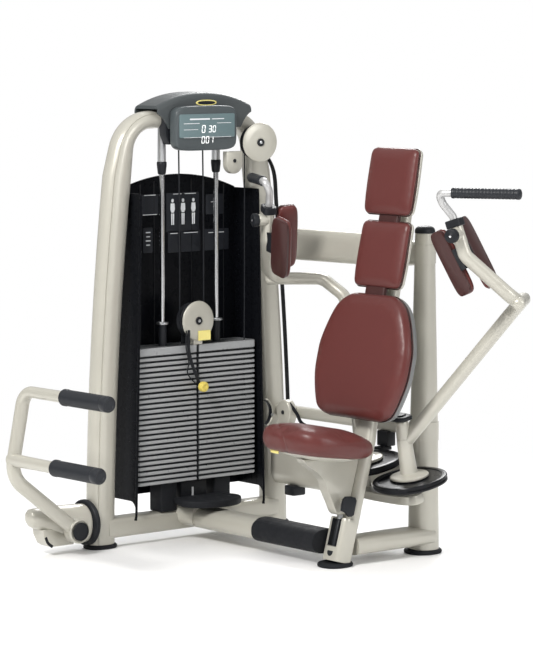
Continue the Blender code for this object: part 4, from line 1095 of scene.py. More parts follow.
def post_base():
    """The deeper foot of the seat post, with a channel open at its front and top."""
    half_w, half_d, channel = 0.043, 0.034, 0.022
    rings = []
    for station in (0.0, 0.03, 0.045, 0.0455, 0.09, 0.128, 0.136, 0.14):
        shrink = {0.136: 0.985, 0.14: 0.955}.get(station, 1.0)
        points = []
        open_here = station > 0.0452
        outline = oval((0, 0, 0), X, Y, half_w * shrink, half_d * shrink, 3.5, 72)
        start = next(i for i, p in enumerate(outline) if p.y > 0 and p.x < channel)
        outline = outline[start:] + outline[:start]
        front = [p for p in outline if p.y > 0 and abs(p.x) < channel]
        rest = [p for p in outline if not (p.y > 0 and abs(p.x) < channel)]
        count = len(front)
        for k in range(count):
            t = k / (count - 1)
            x = channel - 2 * channel * t
            depth = 0.011 if open_here else front[k].y
            if open_here and k in (0, count - 1):
                depth = front[k].y
            if open_here and k in (1, count - 2):
                x = channel if k == 1 else -channel
            points.append((x, depth))
        points += [(p.x, p.y) for p in rest]
        rings.append([post_point(station) + X * u + OUT_BACK * v for u, v in points])
    bm = skin(rings)
    for vert in bm.verts:
        vert.co.z = max(vert.co.z, FOOT_H)
    return bm


# ---------------------------------------------------------------- upholstery


def inflate(obj, free, cap, pressure=4.0):
    """Blow a closed mesh up with cloth. free(point) is 1 where it may move, and cap is the most it moves."""
    rest = [v.co.copy() for v in obj.data.vertices]
    group = obj.vertex_groups.new(name="pinned")
    for v in obj.data.vertices:
        group.add([v.index], 1.0 - free(obj.matrix_world @ v.co), "REPLACE")
    cloth = obj.modifiers.new("cloth", "CLOTH")
    settings = cloth.settings
    settings.vertex_group_mass = "pinned"
    settings.use_pressure = True
    settings.uniform_pressure_force = pressure
    settings.quality = 4
    settings.mass = 0.3
    settings.tension_stiffness = 22
    settings.compression_stiffness = 18
    settings.bending_stiffness = 1.2
    settings.effector_weights.gravity = 0.0
    cloth.collision_settings.use_collision = False
    cloth.point_cache.frame_start = 1
    cloth.point_cache.frame_end = 20
    for number in range(1, 21):
        bpy.context.scene.frame_set(number)
    evaluated = obj.evaluated_get(bpy.context.evaluated_depsgraph_get())
    moved = [v.co.copy() for v in evaluated.data.vertices]
    obj.modifiers.remove(cloth)
    bpy.context.scene.frame_set(1)
    for v, before, after in zip(obj.data.vertices, rest, moved):
        shift = after - before
        if shift.length > cap:
            shift *= cap / shift.length
        v.co = before + shift
    return obj


def relax(obj, rounds, factor=0.5):
    """Smooth the mesh a little, which also takes out the voxel steps."""
    bm = bmesh.new()
    bm.from_mesh(obj.data)
    for _ in range(rounds):
        bmesh.ops.smooth_vert(
            bm, verts=bm.verts, factor=factor, use_axis_x=True, use_axis_y=True, use_axis_z=True
        )
    bm.to_mesh(obj.data)
    bm.free()


def remesh(obj, size):
    modifier = obj.modifiers.new("voxels", "REMESH")
    modifier.mode = "VOXEL"
    modifier.voxel_size = size
    evaluated = obj.evaluated_get(bpy.context.evaluated_depsgraph_get())
    mesh = bpy.data.meshes.new_from_object(evaluated)
    obj.modifiers.remove(modifier)
    obj.data = mesh
    mesh.shade_smooth()
    return obj


def upholster(name, rings, node, material, size, free, cap, shape=None):
    """A padded piece from a closed loft: remeshed, blown up, then pressed into shape and subdivided."""
    obj = add_piece(name, skin(rings), material, BODY_OF[node], node)
    remesh(obj, size)
    relax(obj, 3)
    inflate(obj, free, cap)
    relax(obj, 10)
    if shape:
        for v in obj.data.vertices:
            v.co = shape(v.co)
    smooth = obj.modifiers.new("smooth", "SUBSURF")
    smooth.levels = smooth.render_levels = 1
    obj.data.materials.clear()
    obj.data.materials.append(material)
    return obj


def pad_bracket(node, up, back):
    """A short bracket from the back of a pad towards the spine."""
    path = spine_path()
    run_end = next(i for i in range(1, len(path)) if path[i].z > back.z)
    share = (back.z - path[run_end - 1].z) / (path[run_end].z - path[run_end - 1].z)
    on_spine = path[run_end - 1].lerp(path[run_end], share)
    brace = [oval(back.lerp(on_spine, t), X, up, 0.022, 0.04, 5, 32) for t in (0.0, 0.75)]
    add_piece(node + "_bracket", skin(brace), PAINT, BODY_OF[node])


def pad_outline(side, corners):
    """Outline of a back pad as (half width, height) points. corners has the bottom and the top radius."""
    tall = side[-1][0]
    curve = spline([(v, w, 0) for v, w in side], 10) if len(side) > 4 else [
        Vector((v, w, 0))
        for v, w in side
    ]
    waves = tall * 0.5 * (1 - np.cos(np.linspace(0, math.pi, 64)))
    stations = np.unique(np.concatenate([waves, np.linspace(0, tall, 30)]))
    halves = np.interp(stations, [p.x for p in curve], [p.y for p in curve])
    edge = []
    for v, w in zip(stations, halves):
        for end, radius in ((v, corners[0]), (tall - v, corners[1])):
            if end < radius:
                w -= radius - math.sqrt(max(0.0, radius * radius - (radius - end) ** 2))
        edge.append((w, v))
    return edge + [(-w, v) for w, v in reversed(edge)]


def back_pad(node, base, degrees, side, thickness, corners, shell_t, bracket_height):
    """A backrest pad: a crowned cushion on a pale shell, a welt between them, and the bracket behind."""
    up = leaning(degrees)
    out_way = X.cross(up)
    half_h = side[-1][0] / 2
    widest = max(w for _, w in side)
    outline = pad_outline(side, corners)

    def ring(out, inset):
        points = []
        for u, v in outline:
            across = u * (1 - inset / widest)
            along = half_h + (v - half_h) * (1 - inset / half_h)
            points.append(base - out_way * (thickness - out) + X * across + up * along)
        return points

    layers = ((shell_t, 0.004), (shell_t + 0.003, 0.001), (shell_t + 0.008, 0.0), (thickness - 0.014, 0.001))
    layers += ((thickness - 0.0085, 0.0035), (thickness - 0.0045, 0.008), (thickness - 0.0025, 0.015))
    rings = [ring(out, inset) for out, inset in layers]
    front_start = shell_t + 0.008

    def free(point):
        return clamp(((point - base).dot(out_way) + thickness - front_start) / 0.012)

    def shape(point):
        """Crown the face: highest in the middle, and drawn in along the rim."""
        local = point - base
        if local.dot(out_way) + thickness < thickness - 0.018:
            return point
        u = min(1.0, abs(local.x) / widest)
        v = min(1.0, abs(local.dot(up) - half_h) / half_h)
        return point + out_way * (0.005 * (1 - u * u) * (1 - v ** 4) - 0.002)

    upholster(node + "_cushion", rings, node, VINYL, 0.0048, free, 0.0035, shape)
    layers = (
        (0.0, 0.02), (0.003, 0.01), (0.008, 0.0035), (shell_t - 0.003, 0.001), (shell_t, 0.0022),
        (shell_t, 0.014),
    )
    shell_look = PAINT if corners[0] == corners[1] else SHELL
    add_piece(node + "_shell", skin([ring(out, inset) for out, inset in layers]), shell_look, BODY_OF[node])
    welt_path = ring(shell_t + 0.0008, 0.0022)
    welt_path.append(welt_path[0])
    add_piece(node + "_welt", bar(welt_path, out_way, 0.0016, 0.0016, 2, 8), VINYL_DARK, BODY_OF[node])
    pad_bracket(node, up, base + up * bracket_height - out_way * thickness)


def backrest():
    lower = [(0.0, 0.142), (0.03, 0.177), (0.12, 0.209), (0.19, 0.214), (0.25, 0.208)]
    lower += [(0.34, 0.172), (0.405, 0.125)]
    upper = [(0.0, 0.109), (0.06, 0.114), (0.11, 0.115), (0.22, 0.112)]
    back_pad("lower_back_pad", Vector((0, 0.046, 0.474)), 13.5, lower, 0.066, (0.022, 0.045), 0.026, 0.2)
    back_pad("upper_back_pad", Vector((0, 0.156, 0.882)), 12.5, upper, 0.044, (0.02, 0.02), 0.02, 0.11)
    back_pad("head_pad", Vector((0, 0.2, 1.112)), 10.5, upper, 0.044, (0.02, 0.02), 0.02, 0.07)
    for label, place, degrees in (("lower", (0, 0.148, 0.872), 13.0), ("upper", (0, 0.2055, 1.104), 11.5)):
        up = leaning(degrees)
        centre = Vector(place) - X.cross(up) * 0.024
        rings = [oval(centre + up * d, X, X.cross(up), 0.046, 0.011, 4, 40) for d in (-0.016, 0.0, 0.016)]
        add_piece(f"{label}_neck", skin(rings), VINYL_DARK, "frame")


def seat_ring(z, scale, count=96):
    ring = oval((0, SEAT_Y, z), X, Y, SEAT_HALF_W * scale, SEAT_HALF_D * scale, SEAT_POWER, count)
    return [p + Z * SEAT_TILT * (p.y - SEAT_Y) for p in ring]


def seat_level(point):
    """Height of a point as it would be if the cushion were not tilted."""
    return point.z - SEAT_TILT * (point.y - SEAT_Y)


def nose_seam(point, level):
    """How far a point lies behind the seam that crosses the cushion's front corner."""
    return 0.643 * point.x + 0.766 * (point.y - SEAT_Y) + 0.128 + 0.345 * (level - 0.448)


def seat():
    """The cushion, the pan under it and a blank label on its edge."""
    sections = (
        (0.364, 0.8), (0.3665, 0.87), (0.373, 0.935), (0.384, 0.978), (0.398, 0.992), (0.413, 0.988),
        (0.426, 0.965), (0.436, 0.915), (0.4425, 0.84), (0.4465, 0.72), (0.449, 0.52), (0.45, 0.24),
    )
    rings = [seat_ring(z, scale) for z, scale in sections]

    def free(point):
        return clamp((seat_level(point) - 0.378) / 0.03)

    def shape(point):
        """Press a shallow seat hollow, thin the rear of the cushion and draw the nose seam in."""
        level = seat_level(point)
        height = clamp((level - 0.372) / 0.075)
        hollow = 0.005 * math.exp(-((point.x / 0.085) ** 2) - ((point.y - SEAT_Y - 0.03) / 0.07) ** 2)
        rear = max(0.0, (point.y - SEAT_Y) / SEAT_HALF_D)
        ahead = max(0.0, (SEAT_Y - point.y) / SEAT_HALF_D)
        drop = height * (hollow + 0.014 * rear * rear - 0.01 * ahead * ahead)
        drop -= (1 - height) * 0.01 * rear * rear
        offset = nose_seam(point, level) / 0.0045
        pull = 0.0042 * math.exp(-offset * offset)
        inward = Vector((-point.x, SEAT_Y - point.y, 0.415 - level)).normalized()
        return point - Z * drop + inward * pull

    upholster("seat_cushion_vinyl", rings, "seat_cushion", VINYL, 0.0048, free, 0.01, shape)
    pan = ((0.3505, 0.44), (0.3535, 0.52), (0.358, 0.64), (0.363, 0.66))
    add_piece("seat_pan", skin([seat_ring(z, scale) for z, scale in pan]), PAINT, "seat")
    half_w, half_d = SEAT_HALF_W * 0.84, SEAT_HALF_D * 0.84
    label = []
    for angle in arc_angles(262, 230, 8):
        c, s = math.cos(angle), math.sin(angle)
        across = half_w * math.copysign(abs(c) ** (2 / SEAT_POWER), c)
        back = half_d * math.copysign(abs(s) ** (2 / SEAT_POWER), s)
        label.append(Vector((across, SEAT_Y + back, 0.3625 + SEAT_TILT * back)))
    add_piece("seat_label", bar(label, Z, 0.005, 0.0016, 4, 12, (0.0005, 0.0005)), LABEL, "seat")
    carriage()


def carriage():
    """The seat's web, a plate that curves down from the pan to the post, with the spring and the paddle."""
    front = [(-0.15, 0.358), (-0.138, 0.343), (-0.095, 0.314), (-0.0605, 0.281), (-0.0475, 0.247)]
    front += [(-0.0257, 0.205), (-0.012, 0.176), (-0.004, 0.168)]
    front = [(p.x, p.y) for p in spline([(y, z, 0) for y, z in front], 6)]
    lean = math.tan(BACK_LEAN)
    rear = [(0.004 + (z - FOOT_H) * lean - 0.0105, z) for z in np.linspace(0.164, 0.346, 12)]
    outline = front + rear
    centre_y = sum(y for y, _ in outline) / len(outline)
    centre_z = sum(z for _, z in outline) / len(outline)
    rings = []
    half = ((0.012, 0.0), (0.0175, 0.012), (0.0195, 0.05))
    layers = [(-x, inset) for x, inset in reversed(half)] + list(half)
    for x, inset in layers:
        keep = 1 - inset
        rings.append([
            Vector(
                (x, centre_y + (y - centre_y) * keep, centre_z + (z - centre_z) * keep)
            ) for y, z in outline
        ])
    add_piece("seat_web", skin(rings), PAINT, "seat", "seat_carriage")
    hinge = Vector(JOINTS["seat_paddle_lift"]["pos_m"])
    boss = lathe(Vector((0.016, hinge.y, hinge.z)), X, edge_profile(0, hinge.x - 0.0162, 0.009, 0.001), 32)
    add_piece("paddle_boss", boss, PAINT, "seat")
    start, end = post_point(0.13, 0.021), post_point(0.2415, 0.021)
    rod = edge_profile(0, (end - start).length, 0.0056, 0.0006)
    add_piece("gas_rod", lathe(start, UP_BACK, rod, 32), CHROME, "seat", "gas_spring_rod")
    collar = edge_profile(0, 0.016, 0.0096, 0.001)
    add_piece("gas_rod_collar", lathe(post_point(0.1345, 0.021), UP_BACK, collar, 32), STEEL, "frame")
    outline = [
        (-0.02, 0.186), (-0.018, 0.205), (-0.012, 0.222), (-0.002, 0.23), (0.018, 0.229), (0.036, 0.224),
        (0.042, 0.214), (0.036, 0.19), (0.03, 0.168), (0.02, 0.163), (0.01, 0.164), (-0.004, 0.178),
    ]
    low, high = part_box("seat_lever")
    add_piece(
        "seat_paddle_grip", sheet(outline, low.x, high.x - low.x, 0.004), BLACK, "seat_paddle", "seat_lever"
    )


# ---------------------------------------------------------------- arms


def mirrored(point):
    return Vector((-point[0], point[1], point[2]))


def arm_knob(side, way):
    """The pull knob on the side of the forearm, with its boss and stud."""
    root = TIP - UPPER_ARM * 0.043
    boss = [(0.0, 0.0215), (0.016, 0.0215), (0.026, 0.02), (0.0325, 0.0192), (0.034, 0.018)]
    put(side, "knob_boss", lathe(root, way, boss, 40), PAINT)
    knob = [
        (0.0346, 0.015), (0.0352, 0.02), (0.038, 0.0222), (0.05, 0.0225), (0.0545, 0.0205),
        (0.056, 0.0165), (0.0563, 0.006), (0.057, 0.005), (0.057, 0.0005),
    ]
    put(side, "knob_turned", lathe(root, way, knob, 40), BLACK, f"{side}_arm_knob", on=f"{side}_knob")
    stud = [(0.0566, 0.0042), (0.0578, 0.004), (0.0582, 0.0028), (0.0582, 0.0004)]
    put(side, "knob_stud", lathe(root, way, stud, 24), CHROME, on=f"{side}_knob")


def arm_tube(side):
    """The bent tube from the column to the handle, with a short heel behind the elbow."""
    root = PIVOT_FOOT + ARM_AXIS * ARM_ROOT
    path = rounded([root, KNEE, SHOULDER, ELBOW, WRIST, TIP], 0.055)
    fine = []
    for a, b in zip(path, path[1:]):
        pieces = max(1, int((b - a).length / 0.03))
        fine += [a + (b - a) * i / pieces for i in range(pieces)]
    fine.append(path[-1])
    count = len(fine)
    wide = [0.0215 if i < count * FOREARM_SHARE else 0.0225 for i in range(count)]
    deep = [
        0.0205 - 0.0035 * max(0.0, (i / count - FOREARM_SHARE) / (1 - FOREARM_SHARE)) for i in range(count)
    ]
    main = bar(fine, Vector((0.3, 1, 0.2)).normalized(), wide, deep, 2.3, 44, (0, 0.003))
    heel_way = (ELBOW - SHOULDER).normalized()
    heel_path = [ELBOW - heel_way * d for d in (0.075, 0.04, 0.01, -0.006)]
    heel_half = [0.012, 0.019, 0.0215, 0.0205]
    heel = bar(heel_path, Z, heel_half, heel_half, 2.1, 40, (0, 0.014))
    put(side, "arm_tube", merge(main, heel), PAINT, f"{side}_arm")


def arm_column(side, cam_low):
    """The flange on the cam and the column that rises from it."""
    flange_low = cam_low + ARM_AXIS * 0.0246
    steps = (
        (0.0, 0.97), (0.002, 1.0), (0.0065, 1.0), (0.0085, 0.965), (0.0095, 0.9), (0.011, 0.62),
        (0.016, 0.5),
    )
    flange = [
        oval(flange_low + ARM_AXIS * d, X, ARM_AHEAD, 0.062 * scale, 0.06 * scale, 2.2, 64)
        for d, scale in steps
    ]
    put(side, "flange", skin(flange), PAINT)
    column_high = PIVOT_FOOT + ARM_AXIS * COLUMN_H
    column_low = flange_low + ARM_AXIS * 0.006
    length = (column_high - column_low).length
    ring_at = length - 0.058
    profile = [(0.0, 0.0335), (0.006, 0.03), (0.014, 0.0282), (0.04, 0.0268), (ring_at, 0.024)]
    profile += [(ring_at + 0.001, 0.023), (ring_at + 0.0025, 0.023), (ring_at + 0.0035, 0.024)]
    profile += [(length - 0.01, 0.0218), (length - 0.002, 0.021), (length, 0.02)]
    put(side, "column", lathe(column_low, ARM_AXIS, profile, 56), PAINT)


def cam(side, cam_low):
    """The black cam disc with its belt, and the hub under it."""

    def cam_ring(height, scale):
        return oval(cam_low + ARM_AXIS * height, X, ARM_AHEAD, CAM_R * scale, CAM_R * scale, 2.25, 96)

    profile = (
        (0.0, 0.955), (0.0015, 0.985), (0.004, 1.0), (0.0085, 1.0), (0.0095, 0.965), (0.014, 0.965),
        (0.015, 1.0), (0.0205, 1.0), (0.023, 0.985), (0.024, 0.955), (0.0238, 0.86), (0.0215, 0.845),
    )
    put(side, "cam_disc", skin([cam_ring(height, scale) for height, scale in profile]), GLOSS, f"{side}_cam")
    belt = cam_ring(0.0118, 0.99)[6:84]
    put(side, "cam_belt", bar(belt, ARM_AXIS, 0.003, 0.001, 3, 12, (0.001, 0.001)), RUBBER)
    hub = lathe(cam_low - ARM_AXIS * 0.012, ARM_AXIS, edge_profile(0.0, 0.013, 0.03, 0.002))
    put(side, "cam_under_hub", hub, STEEL)


def put(side, name, bm, material, *nodes, on=None):
    """One piece of an arm, drawn for the left arm and mirrored in X for the right one."""
    if side == "right":
        for vert in bm.verts:
            vert.co.x = -vert.co.x
    return add_piece(f"{side}_{name}", bm, material, on or f"{side}_arm_body", *nodes)


def arm(side):
    """One arm, from the cam at its pivot to the grip of its handle."""
    cam_low = PIVOT_FOOT + ARM_AXIS * (0.0 if side == "left" else RIGHT_CAM_LIFT)
    cam(side, cam_low)
    arm_column(side, cam_low)
    arm_tube(side)
    clamp_way = square_to(Vector((0.35, -1.0, 0)), UPPER_ARM)
    clamp_side = UPPER_ARM.cross(clamp_way)
    collar = []
    for d, inset in ((-0.02, 0.002), (-0.018, 0.0), (0.002, 0.0), (0.0045, 0.0025)):
        centre = TIP + UPPER_ARM * d
        collar.append(oval(centre, clamp_side, clamp_way, 0.0255 - inset, 0.0225 - inset, 5, 40))
    put(side, "handle_clamp", skin(collar), BLACK)
    forearm_pads(side)
    handle(side)
    arm_knob(side, clamp_way)


def forearm_pads(side):
    """Two crowned pads in a V round the forearm, each on a dark board."""
    along = (UPPER_ARM * 0.7 + (WRIST - ELBOW).normalized() * 0.3).normalized()
    place = (lambda p: p) if side == "left" else mirrored
    width, start = 0.078, 0.03
    pads = (
        ("rear_pad", Vector((-0.3, 0.95, 0)), 0.12, -0.006), (
            "inner_pad", Vector((-0.96, 0.05, 0)), 0.11, -0.002
        )
    )
    cushion = ((-0.008, 0.003), (-0.005, 0.0), (0.004, 0.0), (0.009, 0.003), (0.012, 0.008), (0.013, 0.016))
    board = ((-0.0165, 0.006), (-0.0145, 0.003), (-0.007, 0.002), (-0.007, 0.006))
    for label, way, length, rise in pads:
        outward = square_to(way, along)
        face = outward.cross(along) * (-1 if label == "rear_pad" else 1)
        centre = WRIST + along * rise + outward * (start + width / 2)

        def loft(layers):
            rings = []
            for d, inset in layers:
                ring = oval(centre + face * d, outward, along, width / 2 - inset, length - inset, 5.0, 80)
                rings.append([place(p) for p in ring])
            return rings

        def free(point, normal=place(face), origin=place(centre)):
            return clamp(((point - origin).dot(normal) + 0.001) / 0.007)

        name = f"{side}_{label}"
        upholster(name + "_vinyl", loft(cushion), name, VINYL, 0.004, free, 0.005)
        add_piece(name + "_board", skin(loft(board)), VINYL_DARK, f"{side}_arm_body")
        spot = centre - outward * (width / 2 + 0.004) - face * 0.008
        bracket = [oval(spot + along * d, outward, face, 0.018, 0.006, 4, 16) for d in (-0.035, 0.035)]
        put(side, label + "_bracket", skin(bracket), BLACK)


def handle(side):
    """The bent rod above the bar, and its ribbed grip."""
    socket = TIP + UPPER_ARM * 0.002
    rise = socket + Vector((-0.03, -0.022, 0.052))
    corner = Vector((0.413, 0.054, 1.206))
    way = Vector((0.86, 0.5, 0.0)).normalized()
    grip_start = corner + way * 0.045
    path = rounded([socket + UPPER_ARM * 0.012, rise, corner, grip_start], 0.042, 12)
    rod = bar([socket] + path, Vector((0.1, 0.2, 1)).normalized(), 0.0122, 0.0122, 2, 32)
    put(side, "handle_rod", rod, SATIN)
    length, ribs = 0.215, 17
    profile = [(-0.004, 0.0125), (-0.003, 0.016), (0.002, 0.0172), (0.007, 0.016)]
    pitch = (length - 0.03) / ribs
    for i in range(ribs):
        start = 0.012 + pitch * i
        profile += [(start, 0.0154), (start + pitch * 0.14, 0.0163), (start + pitch * 0.72, 0.0163)]
        profile += [(start + pitch * 0.86, 0.0154)]
    profile += [(length - 0.012, 0.0168), (length - 0.006, 0.0168), (length - 0.002, 0.0148)]
    profile += [(length, 0.0105), (length, 0.001)]
    put(side, "handle_grip", lathe(grip_start, way, profile, 40), GRIP, f"{side}_handle")


def pivots():
    """The bridge over the two pivots, and the painted carrier under them with their shafts."""
    foot_point = Vector((0, PIVOT_FOOT.y, PIVOT_FOOT.z))
    rings = []
    for d, inset in ((0.0, 0.004), (0.002, 0.001), (0.01, 0.0), (0.0125, 0.002), (0.0142, 0.007)):
        centre = foot_point + ARM_AXIS * (COLUMN_H + 0.0046 + d)
        rings.append(oval(centre, X, ARM_AHEAD, 0.141 - inset, 0.034 - inset, 4, 72))
    add_piece("pivot_bridge_cast", skin(rings), BLACK, "frame", "pivot_bridge")
    rings = []
    for d, half_y in ((-0.0606, 0.042), (-0.0576, 0.046), (-0.034, 0.042), (-0.0308, 0.038)):
        centre = foot_point + ARM_AXIS * d
        rings.append(oval(centre, X, ARM_AHEAD, 0.139 - (0.046 - half_y) * 0.4, half_y, 3, 64))
    low = foot_point - ARM_AXIS * 0.0306
    solids = [skin(rings), block((-0.032, low.y, low.z - 0.03), (0.032, 0.375, low.z - 0.004), 0.005, 3)]
    shaft = [(0.0, 0.011), (0.05 + COLUMN_H + 0.004, 0.011)]
    profile = [(0.0, 0.017), (0.003, 0.0168), (0.0045, 0.015), (0.0045, 0.001)]
    for side, sign in (("right", -1), ("left", 1)):
        foot = Vector((sign * PIVOT_FOOT.x, PIVOT_FOOT.y, PIVOT_FOOT.z))
        solids.append(lathe(foot - ARM_AXIS * 0.05, ARM_AXIS, shaft, 32))
        cap = foot + ARM_AXIS * (COLUMN_H + 0.0186)
        add_piece(f"pivot_cap_{side}", lathe(cap, ARM_AXIS, profile, 40), BLACK, "frame")
    add_piece("pivot_carrier_cast", merge(*solids), PAINT, "frame", "pivot_carrier")


# ---------------------------------------------------------------- foot lever


def lever_mount():
    """The thick black ring on the tower's foot, the tapered arm in front of it and its foot block."""
    low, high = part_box("lever_mount_ring")
    middle = (low + high) / 2
    thick = high.y - low.y
    profile = [(0.0, 0.068)] + edge_profile(0.0005, thick, 0.076, 0.007)[1:] + [(thick + 0.0004, 0.06)]
    ring = lathe(Vector((middle.x, high.y, middle.z)), -Y, profile, 72)
    add_piece("lever_ring_disc", ring, BLACK, "frame", "lever_mount_ring")
    end_y = -0.665
    stations = (
        (0.0, 0.056, 0.064), (0.06, 0.055, 0.0625), (0.2, 0.0512, 0.0585), (0.35, 0.047, 0.054),
        (0.6, 0.0405, 0.0455), (0.8, 0.034, 0.036), (0.88, 0.0318, 0.0335), (0.94, 0.0285, 0.03),
        (0.98, 0.0205, 0.0215), (1.0, 0.008, 0.008),
    )
    rings = []
    for t, half_x, half_z in stations:
        y = low.y + (end_y - low.y) * t
        rings.append(oval((TOWER_X, y, 0.09 + 0.04 * t), X, Z, half_x, half_z, 2.1, 56))
    wedge = [(0.5, 0.03), (0.592, 0.03), (0.607, 0.04), (0.622, 0.07), (0.625, 0.09), (0.5, 0.09)]
    foot = plate_between(wedge, (TOWER_X - 0.03, 0, 0), -Y, Z, -0.06, 0.0)
    mount = add_piece("lever_mount_arm", merge(skin(rings), foot), PAINT, "frame", "lever_mount")
    soften(mount, 0.003, 2, 60)
    strip = [(TOWER_X + 0.0305, y, z) for y, z in ((-0.588, 0.031), (-0.606, 0.046), (-0.614, 0.064))]
    strip = bar(spline(strip, 6), X, 0.0016, 0.005, 3, 14, (0.001, 0.001))
    add_piece("lever_mount_strip", strip, BLACK, "frame")


def foot_lever():
    """The assist lever: a bar that sweeps up and bends over into the upper foot bar, with a lower bar."""
    lever_mount()
    pivot = Vector(JOINTS["foot_assist_press"]["pos_m"])
    upper_start = Vector((pivot.x, -0.727, 0.556))
    lower_start = Vector((pivot.x, -0.775, 0.339))
    upper_reach, lower_reach = 0.217, 0.23
    sweep_up = rounded([pivot, Vector((pivot.x, -0.782, 0.285)), upper_start], 0.09, 12)[:-1]
    path = [p for a, b in zip(sweep_up, sweep_up[1:]) for p in (a, (a + b) / 2)] + [sweep_up[-1]]
    bend = rounded([upper_start - Z * 0.085 - Y * 0.017, upper_start, upper_start + X * 0.095], 0.08, 12)
    rise = [p for p in path if p.z < upper_start.z - 0.092]
    path = rise + bend + [upper_start + X * upper_reach]
    turned = [clamp((i - len(rise)) / len(bend)) for i in range(len(path))]
    widths = [0.0155 + 0.0035 * t for t in turned]
    depths = [0.0235 - 0.0045 * t for t in turned]
    lower_path = [lower_start + X * d for d in (-0.01, 0.02, 0.12, lower_reach)]
    lower_half = ([0.0215, 0.0205, 0.0192, 0.019], [0.02, 0.0195, 0.019, 0.019])
    lower = bar(lower_path, Z, *lower_half, 2.2, 44)
    boss = lathe(pivot - X * 0.018, X, edge_profile(0.0, 0.038, 0.04, 0.005), 64)
    lever = merge(bar(path, X, widths, depths, 2.5, 48), lower, boss)
    add_piece("foot_lever_bar", lever, PAINT, "assist_lever", "foot_lever")
    foot_grip("upper", upper_start, upper_reach, 0.45)
    foot_grip("lower", lower_start, lower_reach, 0.465)
    low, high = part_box("lever_cap")
    cap = lathe(Vector((low.x, pivot.y, pivot.z)), X, edge_profile(0.0, high.x - low.x, 0.03, 0.0025), 56)
    add_piece("lever_cap_disc", cap, BLACK, "assist_lever", "lever_cap")


# ---------------------------------------------------------------- stage


def foot_grip(label, bar_start, near, far):
    """A rubber sleeve on a foot bar, with a groove near its outer end. near and far are from bar_start."""
    length = far - near
    profile = [(0.0, 0.0205), (0.0, 0.0255), (0.002, 0.0272), (0.012, 0.0272), (0.0145, 0.0258)]
    from_end = (
        (0.03, 0.0258), (0.028, 0.0249), (0.0265, 0.0249), (0.025, 0.0258), (0.006, 0.0258),
        (0.002, 0.0243), (0.0, 0.021), (0.0, 0.015), (0.0012, 0.014), (0.0012, 0.001),
    )
    profile += [(length - d, radius) for d, radius in from_end]
    sleeve = lathe(bar_start + X * (near - 0.0005), X, profile, 56)
    add_piece(f"{label}_foot_sleeve", sleeve, GRIP, "assist_lever", f"{label}_foot_grip")


def area_light(name, place, aim, size, power, tint=(1.0, 1.0, 1.0)):
    data = bpy.data.lights.new(name, "AREA")
    data.shape = "DISK"
    data.size = size
    data.energy = power
    data.color = tint
    light = bpy.data.objects.new(name, data)
    light.location = place
    light.rotation_euler = (Vector(aim) - Vector(place)).to_track_quat("-Z", "Y").to_euler()
    bpy.context.scene.collection.objects.link(light)


def studio_world():
    """White to the camera, and a soft overhead gradient for everything that is lit or reflects."""
    world = bpy.data.worlds.new("studio")
    world.use_nodes = True
    nodes, links = world.node_tree.nodes, world.node_tree.links
    background = set_inputs(nodes["Background"], Color=(1.0, 1.0, 1.0, 1.0))
    path = nodes.new("ShaderNodeLightPath")
    place = nodes.new("ShaderNodeTexCoord")
    split = nodes.new("ShaderNodeSeparateXYZ")
    links.new(place.outputs["Generated"], split.inputs["Vector"])
    height = nodes.new("ShaderNodeMapRange")
    set_inputs(height, From_Min=-0.25, From_Max=0.95, To_Min=0.05, To_Max=0.9)
    links.new(split.outputs["Z"], height.inputs["Value"])
    choose = set_inputs(nodes.new("ShaderNodeMix"), B=1.0)
    links.new(path.outputs["Is Camera Ray"], choose.inputs["Factor"])
    links.new(height.outputs["Result"], choose.inputs["A"])
    links.new(choose.outputs["Result"], background.inputs["Strength"])
    bpy.context.scene.world = world
    bpy.context.scene.view_settings.view_transform = "Standard"


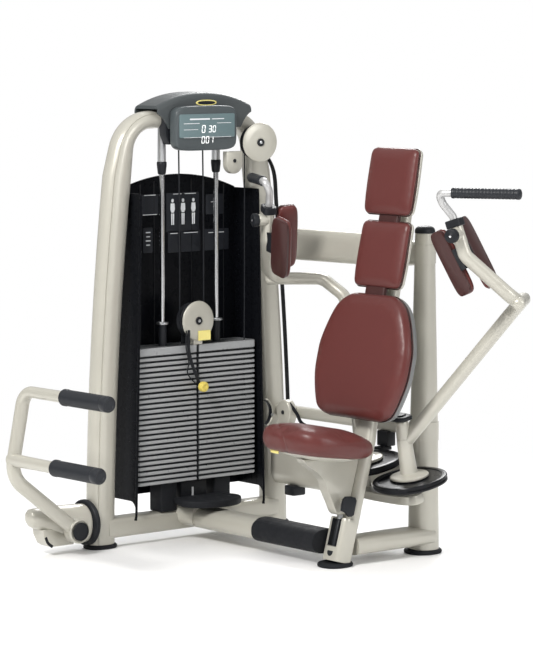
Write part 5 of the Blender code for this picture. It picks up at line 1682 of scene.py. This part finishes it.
def fade_to_white(look):
    """Far from the machine the floor turns into plain white for the camera, so no horizon shows."""
    links = look.links
    distance = look.add("VectorMath")
    distance.operation = "LENGTH"
    links.new(look.place, distance.inputs[0])
    far = look.ramp(distance.outputs["Value"], 1.2, 2.6)
    path = look.add("LightPath")
    seen = look.add("Math")
    seen.operation = "MULTIPLY"
    links.new(far, seen.inputs[0])
    links.new(path.outputs["Is Camera Ray"], seen.inputs[1])
    white = look.add("Emission")
    blend = look.add("MixShader")
    links.new(seen.outputs["Value"], blend.inputs["Fac"])
    links.new(look.shader.outputs["BSDF"], blend.inputs[1])
    links.new(white.outputs["Emission"], blend.inputs[2])
    links.new(blend.outputs["Shader"], look.nodes["Material Output"].inputs["Surface"])


def stage():
    size = 14.0
    bm = bmesh.new()
    bmesh.ops.create_grid(bm, x_segments=8, y_segments=8, size=size)
    mesh = bpy.data.meshes.new("floor")
    bm.to_mesh(mesh)
    bm.free()
    floor_look = Look("pale_floor", (0.93, 0.93, 0.93), 0.7)
    floor_look.mottle(3.0, 0.008)
    fade_to_white(floor_look)
    mesh.materials.append(floor_look.material)
    floor = bpy.data.objects.new("floor", mesh)
    bpy.context.scene.collection.objects.link(floor)
    studio_world()
    middle = (-0.15, 0.0, 0.75)
    area_light("key", (1.2, -4.6, 4.4), middle, 1.8, 310, (1.0, 0.985, 0.96))
    area_light("fill", (5.0, 1.0, 2.6), middle, 2.6, 90)
    area_light("rim", (-3.2, 3.2, 3.8), middle, 2.0, 150)
    data = bpy.data.cameras.new("camera")
    data.lens = 162.16
    data.sensor_width = 36.0
    data.clip_end = 60.0
    camera = bpy.data.objects.new("camera", data)
    camera.location = (7.082, -6.228, 1.73)
    pitch, turn = math.radians(5.956), math.radians(40.0)
    forward = Vector((-math.cos(turn) * math.cos(pitch), math.sin(turn) * math.cos(pitch), -math.sin(pitch)))
    camera.rotation_euler = forward.to_track_quat("-Z", "Y").to_euler()
    bpy.context.scene.collection.objects.link(camera)
    bpy.context.scene.camera = camera


tower()
shroud()
cowl()
console()
guide_rods()
weight_stack()
pulleys()
cables()
belts()
floor_frame()
rear_frame()
seat_post()
backrest()
seat()
for arm_side in ("left", "right"):
    arm(arm_side)
pivots()
foot_lever()
stage()
